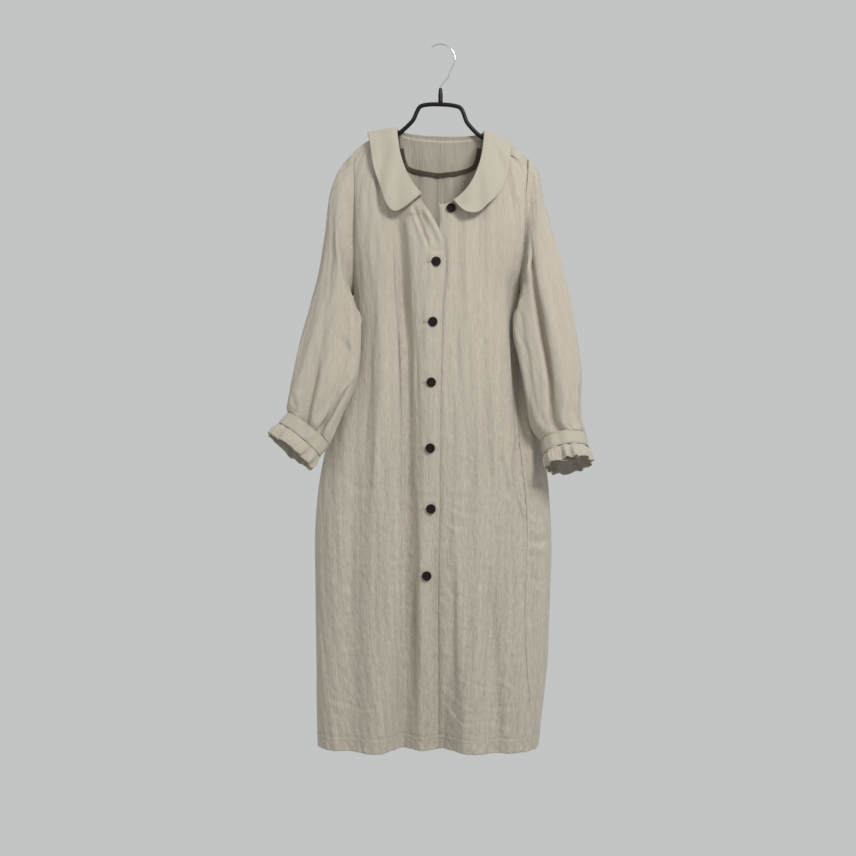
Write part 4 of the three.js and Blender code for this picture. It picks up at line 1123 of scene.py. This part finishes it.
SLEEVE_CREASES = {
    -1: rows_of("path depth width", [
        ([(150, 0.45), (160, 0.49), (168, 0.54)], 3.2, 7),
        ([(108, 1.03), (130, 0.92), (154, 0.80)], 10.0, 5.5),
        ([(74, 0.68), (80, 0.86), (84, 1.05)], 5.4, 5.5),
        ([(56, 0.22), (64, 0.45), (72, 0.66)], 1.8, 9),
        ([(112, 0.12), (122, 0.30), (126, 0.46)], 2.2, 9),
        ([(100, 0.60), (130, 0.66), (150, 0.72)], 2.0, 8),
        ([(30, 0.80), (44, 0.90), (48, 1.0)], 2.2, 6),
        ([(220, 0.3), (236, 0.6), (240, 1.0)], 2.6, 8),
        ([(290, 0.5), (300, 0.8), (304, 1.0)], 2.4, 8),
    ]),
    1: rows_of("path depth width", [
        ([(94, 0.24), (97, 0.50), (99, 0.75), (104, 1.03)], 13, 5),
        ([(28, 0.80), (32, 0.93), (34, 1.06)], 10, 4.5),
        ([(132, 0.46), (140, 0.66), (142, 0.90)], 2.4, 8),
        ([(60, 0.30), (56, 0.55), (62, 0.78)], 1.6, 9),
        ([(60, 0.86), (70, 0.94), (72, 1.02)], 2.6, 6),
        ([(150, 0.22), (162, 0.32)], 2.6, 7),
        ([(224, 0.3), (240, 0.6), (244, 1.0)], 2.6, 8),
        ([(296, 0.5), (304, 0.8), (308, 1.0)], 2.4, 8),
    ]),
}
SLEEVE_STEPS = 104
SLEEVE_ROWS = 150
PLEATS = 9
PLEAT_DEPTH = 1.5
BAND_GAP = 0.4
TOP_HELD = 14
CUFF_HELD = 22
PLEATS_FROM = {"share": 0.86, "over": 0.12}
CUFF_CALM = {"share": 0.97, "over": 0.03, "keeps": 0.35}


def section_frame(side, at):
    """Middle, outward direction, forward direction and half width of a sleeve's section."""
    table = SLEEVE[side]
    inner = np.stack([read(table, k, at, "at") for k in ("in_x", "in_y", "in_z")], axis=-1)
    outer = np.stack([read(table, k, at, "at") for k in ("out_x", "out_y", "out_z")], axis=-1)
    across = outer - inner
    half = np.linalg.norm(across, axis=-1, keepdims=True) / 2
    across = across / (2 * half)
    up = np.stack([-across[..., 2], 0 * across[..., 0], across[..., 0]], axis=-1)
    up /= np.linalg.norm(up, axis=-1, keepdims=True)
    up = np.where(up[..., 2:] < 0, -up, up)
    lean = np.radians(read(table, "lean", at, "at"))[..., None]
    front = np.concatenate([0 * lean, -np.cos(lean), 0 * lean], axis=-1) + up * np.sin(lean)
    return (inner + outer) / 2, across, front, half


def sleeve_grid(side):
    at, degrees = np.meshgrid(
        np.linspace(0, SECTIONS, SLEEVE_ROWS + 1),
        np.linspace(0, 360, SLEEVE_STEPS, endpoint=False),
        indexing="ij",
    )
    share = at / SECTIONS
    turn = np.radians(degrees)
    middle, across, front, half = section_frame(side, np.maximum(1, at))
    pull = 0.0
    for fold in SLEEVE_FOLDS[side]:
        near = np.exp(-(((degrees - fold["turn"]) / fold["width"]) ** 2))
        grow = smooth(clamp((share - fold["start"]) / (fold["end"] - fold["start"]) * 1.6))
        pull = pull + fold["depth"] * near * grow
    depth = read(SLEEVE[side], "depth", np.maximum(1, at), "at")
    cos, sin = np.cos(turn)[..., None], np.sin(turn)[..., None]
    width = (half - pull[..., None] * 0.4 * np.abs(cos)) * cos
    thick = depth[..., None] * sin - pull[..., None] * sin
    tube = middle + across * width + front * thick
    tip = ridge_height(side * SHOULDER_TIP_X)
    ring_z = (tip + UNDERARM_Z) / 2 + (tip - UNDERARM_Z) / 2 * np.cos(turn)
    ring = np.stack([side * half_width(side, ring_z), -ARM_HALF_DEPTH * np.sin(turn), ring_z], -1)
    return mix(ring, tube, clamp(at)[..., None]), share, degrees


def closed_push(grid, height):
    """As pushed, for a tube whose columns close into a ring."""
    padded = np.concatenate([grid[:, -1:], grid, grid[:, :1]], axis=1)
    tall = np.concatenate([height[:, -1:], height, height[:, :1]], axis=1)
    moved, normal = pushed(padded, tall)
    return moved[:, 1:-1], normal[:, 1:-1]


def tube_map(grid, middle):
    """The flat map of a tube: round each ring from a middle column, and down its mean length."""
    closed = np.concatenate([grid, grid[:, :1]], axis=1)
    steps = np.linalg.norm(np.diff(closed, axis=1), axis=-1)
    around = np.concatenate([np.zeros((len(grid), 1)), np.cumsum(steps, axis=1)], axis=1)
    falls = np.linalg.norm(np.diff(grid, axis=0), axis=-1).mean(axis=1)
    down = np.concatenate([[0], np.cumsum(falls)])[:, None]
    return np.stack([around - around[:, middle:middle + 1], 0 * around - down], axis=-1)


for side, word in SIDE_NAMES.items():
    base, share, degrees = sleeve_grid(side)
    around = np.radians(degrees) * SLEEVE_RADIUS
    down = share * SLEEVE_LENGTH
    height = ripple(around, down, seed=31 + side, size=40, stretch=6, height=0.8)
    height = height + ripple(around, down, seed=41 + side, size=18, stretch=5, height=0.3)
    top_held = smooth(clamp(share * TOP_HELD))
    seam_fade = np.minimum(top_held, smooth(clamp((1 - share) * CUFF_HELD)))
    height = height * seam_fade
    for line in SLEEVE_CREASES[side]:
        path = [(np.radians(turned) * SLEEVE_RADIUS, part * SLEEVE_LENGTH)
                for turned, part in line["path"]]
        height = height + crease(around, down, path, line["depth"], line["width"])
    pleats = np.abs(np.sin(np.radians(degrees) * PLEATS / 2 + 0.6)) - 0.5
    into_pleats = clamp((share - PLEATS_FROM["share"]) / PLEATS_FROM["over"])
    height = height + PLEAT_DEPTH * pleats * smooth(into_pleats)
    at_cuff = smooth(clamp((share - CUFF_CALM["share"]) / CUFF_CALM["over"]))
    height = height * top_held * mix(1.0, CUFF_CALM["keeps"], at_cuff)
    grid, _ = closed_push(base, side * height)
    name = f"sleeve_{word}_cloth"
    sleeve = add_piece(name, grid, tube_map(grid, SLEEVE_STEPS // 4), coat_cloth,
                       [f"sleeve_{word}"], wrap=True)
    print(name, "faces:", len(sleeve.data.polygons))

# %% [markdown]
# ## Cuffs
#
# The cuff is a narrow band, two cloths thick, with a gathered strip below it. The gathers make
# waves that grow towards the frill's free edge, no two alike.

# %% Cuffs
CUFF_BAND = 28
BAND_FLARE = 0.5
BAND_CLOTH = 1.9
FRILL_GAP = 1.0
FRILL_CLOTH = 0.8
FRILL_DROP = 27
FRILL_WAVES = 11
FRILL_WAVE_DEPTH = 3.6
FRILL_FLARE = 2
FRILL_PUFF = 2.6
BAND_STEPS = 96
BAND_RINGS = 12
FRILL_STEPS = 260
FRILL_RINGS = 16
CUFF_RADIUS = 40


def ring_turns(steps):
    return np.linspace(0, 2 * np.pi, steps, endpoint=False)


def cuff_rings(side, drops, growths):
    """Rings that carry on from the sleeve's last section, towards the hand."""
    middle, across, front, half = section_frame(side, np.array(float(SECTIONS)))
    depth = read(SLEEVE[side], "depth", float(SECTIONS), "at")
    hand = np.cross(across, front)
    hand /= np.linalg.norm(hand)
    hand = -hand if hand[2] > 0 else hand
    turn = ring_turns(drops.shape[1])
    rings = []
    for drop, more in zip(drops, growths):
        cos, sin = np.cos(turn)[:, None], np.sin(turn)[:, None]
        rings.append(middle + across * (half + more[:, None]) * cos
                     + front * (depth + more[:, None]) * sin + hand * drop[:, None])
    return np.array(rings)


def ring_map(grid, drops):
    run = np.linalg.norm(np.diff(np.concatenate([grid[-1], grid[-1][:1]]), axis=0), axis=-1)
    around = np.concatenate([[0], np.cumsum(run)])
    return np.stack(np.meshgrid(np.asarray(drops), around, indexing="ij")[::-1], axis=-1)


def band_grid(side, drops):
    """The band: a plain ring, a little uneven between its two edges."""
    turn = ring_turns(BAND_STEPS)
    wobble = ripple(turn * CUFF_RADIUS, 0 * turn, seed=51 + side, size=24, stretch=4, height=0.8)
    growths = [BAND_FLARE + wobble * np.sin(np.pi * ring / (BAND_RINGS - 1))
               for ring in range(BAND_RINGS)]
    return cuff_rings(side, np.repeat(drops[:, None], BAND_STEPS, axis=1), growths)


def frill_grid(side, shares):
    """The frill: gathers whose waves grow towards its free edge."""
    turn = ring_turns(FRILL_STEPS)
    rng = np.random.default_rng(61 + side)
    uneven = sum(rng.uniform(0.2, 0.4) * np.sin(turn * k + rng.uniform(0, 6)) for k in (2, 3, 5))
    wave = np.sin(turn * FRILL_WAVES + 2.6 * uneven) * (1 + 0.8 * uneven)
    small = ripple(turn * CUFF_RADIUS, 0 * turn, seed=66 + side, size=9, stretch=4, height=0.5)
    growths = [FRILL_FLARE * s - BAND_FLARE + FRILL_PUFF * np.sin(np.pi * s)
               + (FRILL_WAVE_DEPTH * wave + small * np.sin(4 * s)) * min(1, 0.25 + s)
               for s in shares]
    top = CUFF_BAND + FRILL_GAP
    fall = top + shares[:, None] * (FRILL_DROP + 1.6 * uneven[None, :] + 0.5 * small[None, :])
    return cuff_rings(side, fall, growths)


for side, word in SIDE_NAMES.items():
    drops = BAND_GAP + np.linspace(0, 1, BAND_RINGS) * CUFF_BAND
    band = band_grid(side, drops)
    add_piece(f"cuff_band_{word}_cloth", band, ring_map(band, drops), collar_cloth,
              [f"cuff_band_{word}"], BAND_CLOTH, wrap=True, rounded=True)
    shares = np.linspace(0, 1, FRILL_RINGS)
    frill = frill_grid(side, shares)
    add_piece(f"cuff_frill_{word}_cloth", frill, ring_map(frill, shares * FRILL_DROP), coat_cloth,
              [f"cuff_frill_{word}"], FRILL_CLOTH, wrap=True)
    print(word, "cuff rings:", len(band) + len(frill))

# %% [markdown]
# ## Pockets
#
# A flat bag hangs inside each front, from its mouth in the side seam. On the wearer's left
# the seam has swung forward and the bag's cloth shows through the open mouth. The bag starts
# 10 mm above the plain model's, just above the top of the mouth.

# %% Pockets
POCKET = {"top": -742, "bottom": -1000, "turn": 30, "inside": 3.2, "cloth": 2.4}
POCKET_LOOK = 3
POCKET_PUSH = 1.2


def pocket_grid(side):
    z, share = np.meshgrid(np.linspace(POCKET["top"], POCKET["bottom"], 50), np.linspace(0, 1, 24),
                           indexing="ij")
    angle = seam_angle(side, z) + 0.5 - share * POCKET["turn"]
    here = body_point(side, angle, z)
    ahead = body_point(side, np.minimum(89.5, angle + POCKET_LOOK), z)
    line = ahead - body_point(side, angle - POCKET_LOOK, z)
    normal = side * np.stack([-line[..., 1], line[..., 0], 0 * z], axis=-1)
    normal /= np.linalg.norm(normal, axis=-1, keepdims=True)
    full = 0.6 + POCKET["inside"] + POCKET["cloth"] / 2
    return here + normal * mix(1.5, full, smooth(clamp(share * 4)))[..., None]


for side, word in SIDE_NAMES.items():
    base = pocket_grid(side)
    flat = flat_map(base, 0.0)
    height = ripple(flat[..., 0], flat[..., 1], seed=71 + side, size=17, stretch=1.3, height=0.8)
    grid, _ = pushed(base, np.clip(height, -POCKET_PUSH, POCKET_PUSH))
    add_piece(f"pocket_{word}_cloth", grid, flat, coat_cloth,
              [f"pocket_{word}"], POCKET["cloth"] - 0.6, rounded=True)
    print("pocket points:", word, grid.shape[0] * grid.shape[1])

# %% [markdown]
# ## Hanger and hook
#
# The hanger is a bent rod with a soft black coating, and its hook is bright wire. Both follow
# a path at one thickness, so one rule makes them: a curve with a round section swept along it.

# %% Hanger and hook
def new_tree(name, inputs):
    """A new rule with named inputs."""
    tree = bpy.data.node_groups.new(name, "GeometryNodeTree")
    tree.interface.new_socket("Geometry", in_out="INPUT", socket_type="NodeSocketGeometry")
    tree.interface.new_socket("Geometry", in_out="OUTPUT", socket_type="NodeSocketGeometry")
    for label, kind in inputs:
        tree.interface.new_socket(label, in_out="INPUT", socket_type=kind)
    return tree, tree.nodes.new("NodeGroupInput"), tree.nodes.new("NodeGroupOutput")


def wire(tree, rows):
    """Links nodes: each row is a node and its output, then a node and its input."""
    for source, leaving, target, entering in rows:
        tree.links.new(source.outputs[leaving], target.inputs[entering])


def rod_rule():
    tree, given, result = new_tree("rod along a path", [
        ("Radius", "NodeSocketFloat"),
        ("Sides", "NodeSocketInt"),
        ("Step", "NodeSocketFloat"),
        ("Finish", "NodeSocketMaterial"),
    ])
    nodes = tree.nodes
    path = nodes.new("GeometryNodeMeshToCurve")
    even = nodes.new("GeometryNodeResampleCurve")
    even.mode = "LENGTH"
    section = nodes.new("GeometryNodeCurvePrimitiveCircle")
    sweep = nodes.new("GeometryNodeCurveToMesh")
    sweep.inputs["Fill Caps"].default_value = True
    shade = nodes.new("GeometryNodeSetShadeSmooth")
    real = nodes.new("GeometryNodeRealizeInstances")
    paint = nodes.new("GeometryNodeSetMaterial")
    wire(tree, [
        (given, "Geometry", path, "Mesh"),
        (path, "Curve", even, "Curve"),
        (given, "Step", even, "Length"),
        (given, "Radius", section, "Radius"),
        (given, "Sides", section, "Resolution"),
        (even, "Curve", sweep, "Curve"),
        (section, "Curve", sweep, "Profile Curve"),
        (sweep, "Mesh", shade, "Geometry"),
        (shade, "Geometry", real, "Geometry"),
        (real, "Geometry", paint, "Geometry"),
        (given, "Finish", paint, "Material"),
        (paint, "Geometry", result, "Geometry"),
    ])
    return tree


def grown(name, points, edges, tree, values):
    """Grows a rule on lines of points and keeps the mesh that it makes."""
    mesh = bpy.data.meshes.new(name)
    mesh.from_pydata(points, edges, [])
    piece = bpy.data.objects.new(name, mesh)
    bpy.context.scene.collection.objects.link(piece)
    rule = piece.modifiers.new("rule", "NODES")
    rule.node_group = tree
    sockets = {item.name: item.identifier for item in tree.interface.items_tree
               if item.in_out == "INPUT"}
    for label, value in values.items():
        rule[sockets[label]] = value
    bpy.context.view_layer.update()
    evaluated = piece.evaluated_get(bpy.context.evaluated_depsgraph_get())
    made = bpy.data.meshes.new_from_object(evaluated)
    piece.modifiers.remove(rule)
    piece.data = made
    return piece


def chain(count, start=0):
    """Edges that join points into one line."""
    return [(start + k, start + k + 1) for k in range(count - 1)]


def rounded_path(points, per_step=10):
    """A smooth path through points, with even slopes at each of them."""
    points = np.array(points, dtype=float)
    run = np.concatenate([[0], np.cumsum(np.sqrt(np.linalg.norm(np.diff(points, axis=0), axis=1)))])
    table = {"at": run, **{axis: points[:, k] for k, axis in enumerate("xyz")}}
    at = np.linspace(0, run[-1], per_step * (len(points) - 1) + 1)
    return np.stack([read(table, axis, at, "at") for axis in "xyz"], axis=-1)


HANGER_RADIUS = 4.0
WIRE_RADIUS = 1.75
HOOK_RADIUS = 27.5
TILT = np.radians(2)
HANGER_PATH = [(0, -114), (22, -115), (38, -119), (44, -128), (51, -145), (62, -158), (75, -169.8),
               (87, -176), (108, -184.8), (130, -195.5), (142, -203.5), (152, -212.5)]
HOOK_STEM = [(18.5, -50), (15.5, -60), (9, -69), (2.5, -76), (0, -82), (0, -94), (0, -108)]


def hanger_line():
    points = []
    top = HANGER_PATH[0][1]
    both = [(-x, z) for x, z in HANGER_PATH[::-1]] + HANGER_PATH[1:]
    for x, z in both:
        drop = z - top
        points.append((x * np.cos(TILT) + drop * np.sin(TILT), 0.0,
                       top + drop * np.cos(TILT) - x * np.sin(TILT)))
    return rounded_path(points)


def hook_line():
    middle = -HOOK_RADIUS + WIRE_RADIUS
    turns = np.radians(np.arange(128, -31, -14))
    arc = [(HOOK_RADIUS * np.cos(t), 0.0, middle + HOOK_RADIUS * np.sin(t)) for t in turns]
    return rounded_path(arc + [(x, 0.0, z) for x, z in HOOK_STEM])


def speckled_finish(name, colour, roughness, relief):
    """A plain colour with a faint grain, worked out in the piece's own space."""
    material = plain_finish(name, colour, roughness, shine=0.22)
    nodes, links = material.node_tree.nodes, material.node_tree.links
    place = nodes.new("ShaderNodeTexCoord")
    texture = nodes.new("ShaderNodeTexNoise")
    texture.inputs["Scale"].default_value = 900.0
    bump = nodes.new("ShaderNodeBump")
    bump.inputs["Strength"].default_value = relief
    bump.inputs["Distance"].default_value = 0.0002
    links.new(place.outputs["Object"], texture.inputs["Vector"])
    links.new(texture.outputs["Fac"], bump.inputs["Height"])
    links.new(bump.outputs["Normal"], nodes["Principled BSDF"].inputs["Normal"])
    return material


black_coat = speckled_finish("soft black coating", (0.005, 0.005, 0.006), 0.42, 0.3)
bright_wire = plain_finish("bright wire", (0.72, 0.73, 0.75), 0.16, 1.0)
rod = rod_rule()
hanger_points = hanger_line()
hanger = grown("hanger_rod", (hanger_points * MM).tolist(), chain(len(hanger_points)), rod,
               {"Radius": HANGER_RADIUS * MM, "Sides": 24, "Step": 0.003, "Finish": black_coat})
hook_points = hook_line()
hook = grown("hook_wire", (hook_points * MM).tolist(), chain(len(hook_points)), rod,
             {"Radius": WIRE_RADIUS * MM, "Sides": 20, "Step": 0.002, "Finish": bright_wire})
for piece, node, slot in [(hanger, "hanger_body", "hanger_plastic"), (hook, "hanger_hook", "hook_metal")]:
    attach(piece, "root")
    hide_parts(node)
print("rod faces:", len(hanger.data.polygons), "wire faces:", len(hook.data.polygons))

# %% [markdown]
# ## Buttons and the hanger's neck
#
# The buttons are dark and softly polished, with four holes. They and the sleeve at the foot of
# the hook keep the plain model's shape and get their finish here.

# %% Buttons and the hanger's neck
def give_finish(node, material):
    piece = frame["nodes"][node]
    piece.data.materials.clear()
    piece.data.materials.append(material)


button_finish = speckled_finish("dark button", (0.006, 0.003, 0.0025), 0.34, 0.15)
BUTTONS = 7
for number in range(1, BUTTONS + 1):
    give_finish(f"button_{number}", button_finish)
give_finish("hanger_neck", black_coat)
print("buttons:", BUTTONS)

# %% [markdown]
# ## Sewing
#
# Hems, cuff bands, the facing and its tape are held by rows of stitches, and each buttonhole is
# edged with a ring of close thread. A row of stitches repeats one short thread along a line, so
# a rule places them: even steps along the line, and a small round thread lying along it at each.

# %% Stitches
STITCH = {"Pitch": 3.6 * MM, "Stitch": 2.5 * MM, "Thread": 0.3 * MM}
STITCH_STAND = 0.12
EDGE_ROOM = 3


def stitch_rule():
    tree, given, result = new_tree("stitches along a line", [
        ("Pitch", "NodeSocketFloat"),
        ("Stitch", "NodeSocketFloat"),
        ("Thread", "NodeSocketFloat"),
        ("Finish", "NodeSocketMaterial"),
    ])
    nodes = tree.nodes
    path = nodes.new("GeometryNodeMeshToCurve")
    places = nodes.new("GeometryNodeCurveToPoints")
    places.mode = "LENGTH"
    thread = nodes.new("GeometryNodeMeshCylinder")
    thread.inputs["Vertices"].default_value = 6
    spots = nodes.new("GeometryNodeInstanceOnPoints")
    real = nodes.new("GeometryNodeRealizeInstances")
    paint = nodes.new("GeometryNodeSetMaterial")
    wire(tree, [
        (given, "Geometry", path, "Mesh"),
        (path, "Curve", places, "Curve"),
        (given, "Pitch", places, "Length"),
        (given, "Thread", thread, "Radius"),
        (given, "Stitch", thread, "Depth"),
        (places, "Points", spots, "Points"),
        (places, "Rotation", spots, "Rotation"),
        (thread, "Mesh", spots, "Instance"),
        (spots, "Instances", real, "Geometry"),
        (real, "Geometry", paint, "Geometry"),
        (given, "Finish", paint, "Material"),
        (paint, "Geometry", result, "Geometry"),
    ])
    return tree


def hem_line(name):
    """The line of stitches along a panel's hem, just below the top of the turned cloth."""
    row = int(skirt_row(HEM_BAND - 3))
    line = grids[name][row] + outwards[name][row] * (CLOTH / 2 + STITCH_STAND)
    return line[EDGE_ROOM:-EDGE_ROOM]


def ring_line(name, row, thickness):
    """A closed line round a cuff."""
    ring = grids[name][row]
    out = ring - ring.mean(axis=0)
    out /= np.linalg.norm(out, axis=-1, keepdims=True)
    ring = ring + out * (thickness / 2 + STITCH_STAND)
    return np.concatenate([ring, ring[:1]])


def sewn(name, lines, rule, values):
    """Sews several lines with one rule, as one piece that rides on the coat."""
    points = np.concatenate(lines) * MM
    edges, start = [], 0
    for line in lines:
        edges += chain(len(line), start)
        start += len(line)
    piece = grown(name, points.tolist(), edges, rule, values)
    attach(piece, "root")
    print(name, "faces:", len(piece.data.polygons))


thread_finish = speckled_finish("cotton thread", (0.37, 0.33, 0.26), 0.8, 0.2)
dark_thread = speckled_finish("dark cotton thread", (0.05, 0.04, 0.028), 0.8, 0.2)
stitches = stitch_rule()
pale_row = {**STITCH, "Finish": thread_finish}
sewn("hem_stitches", [hem_line(name) for name in panels], stitches, pale_row)
cuff_lines = [ring_line(f"cuff_band_{word}_cloth", row, BAND_CLOTH)
              for word in SIDE_NAMES.values() for row in (1, -2)]
sewn("cuff_stitches", cuff_lines, stitches, pale_row)
facing_middle = facing_points[len(facing_points) // 2, 1:-1]
facing_middle = facing_middle - [0, FACING_CLOTH / 2 + STITCH_STAND, 0]
sewn("facing_stitches", [facing_middle], stitches, pale_row)
tape_middle = tape_points[2:-2, 2] - [0, TAPE_CLOTH / 2 + STITCH_STAND, 0]
sewn("tape_stitches", [tape_middle], stitches, {**STITCH, "Finish": dark_thread})

# %% Buttonholes
HOLE_LENGTH = 20
HOLE_HALF_HEIGHT = 1.2
HOLE_PAST_BUTTON = 3
HOLE_REACH = 18
TOP_HOLE = (-44, -338)
right_front = tree_of(["front_right_cloth"])


def buttonhole_line(x, z):
    """A long ring round a level buttonhole that starts at x and runs to the wearer's right."""
    half = HOLE_LENGTH / 2 - HOLE_HALF_HEIGHT
    turns = np.radians(np.arange(-90, 91, 30))
    end = np.stack([half + HOLE_HALF_HEIGHT * np.cos(turns), HOLE_HALF_HEIGHT * np.sin(turns)], axis=-1)
    ring = np.concatenate([end, -end, end[:1]])
    fine = np.concatenate([mix(a, b, np.linspace(0, 1, 9)[:-1, None])
                           for a, b in zip(ring[:-1], ring[1:])] + [ring[-1:]])
    line = []
    for across, up in fine:
        place = body_at(x - HOLE_LENGTH / 2 + across, z + up, True)
        line.append(laid_on(right_front, place, (0, -1, 0), 0.2, HOLE_REACH))
    return np.array(line)


holes = [buttonhole_line(*TOP_HOLE)]
for number in range(2, BUTTONS + 1):
    low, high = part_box(f"button_{number}")
    middle = (np.array(low) + np.array(high)) / 2 / MM
    holes.append(buttonhole_line(middle[0] + HOLE_PAST_BUTTON, middle[2]))
sewn("buttonhole_edges", holes, rod,
     {"Radius": 0.5 * MM, "Sides": 8, "Step": 0.0012, "Finish": thread_finish})

# %% [markdown]
# ## The cut of the cloth
#
# For each piece of cloth the size that it was cut to is worked out and printed, in metres: the width and
# length that its flat map spans, and the area that the map covers.

# %% The cut of the cloth
FULLEST = 0.99


def declare_cut(name):
    """Works out and prints the width, length and area of a piece of cloth's flat map.

    The area is held just under width times length, so a full rectangle loses 1% of it."""
    flat = cuts[name] * MM
    width, length = (float(value) for value in np.ptp(flat.reshape(-1, 2), axis=0))
    down = flat[1:, 1:] - flat[:-1, :-1]
    up = flat[1:, :-1] - flat[:-1, 1:]
    area = float(np.abs(down[..., 0] * up[..., 1] - down[..., 1] * up[..., 0]).sum() / 2)
    area = min(area, FULLEST * width * length)
    piece = bpy.data.objects[name]
    made = piece.evaluated_get(bpy.context.evaluated_depsgraph_get())
    mesh = made.to_mesh()
    share = sum(face.area for face in mesh.polygons) / 2 / area
    made.to_mesh_clear()
    print(name, "cut", round(width, 3), round(length, 3), round(area, 4), "share", round(share, 2))


for side, word in SIDE_NAMES.items():
    for part in ("front", "back"):
        declare_cut(f"{part}_{word}_cloth")
    declare_cut(f"sleeve_{word}_cloth")
    declare_cut(f"cuff_band_{word}_cloth")
    declare_cut(f"cuff_frill_{word}_cloth")
    declare_cut(f"pocket_{word}_cloth")
declare_cut("collar_cloth")
declare_cut("facing_cloth")
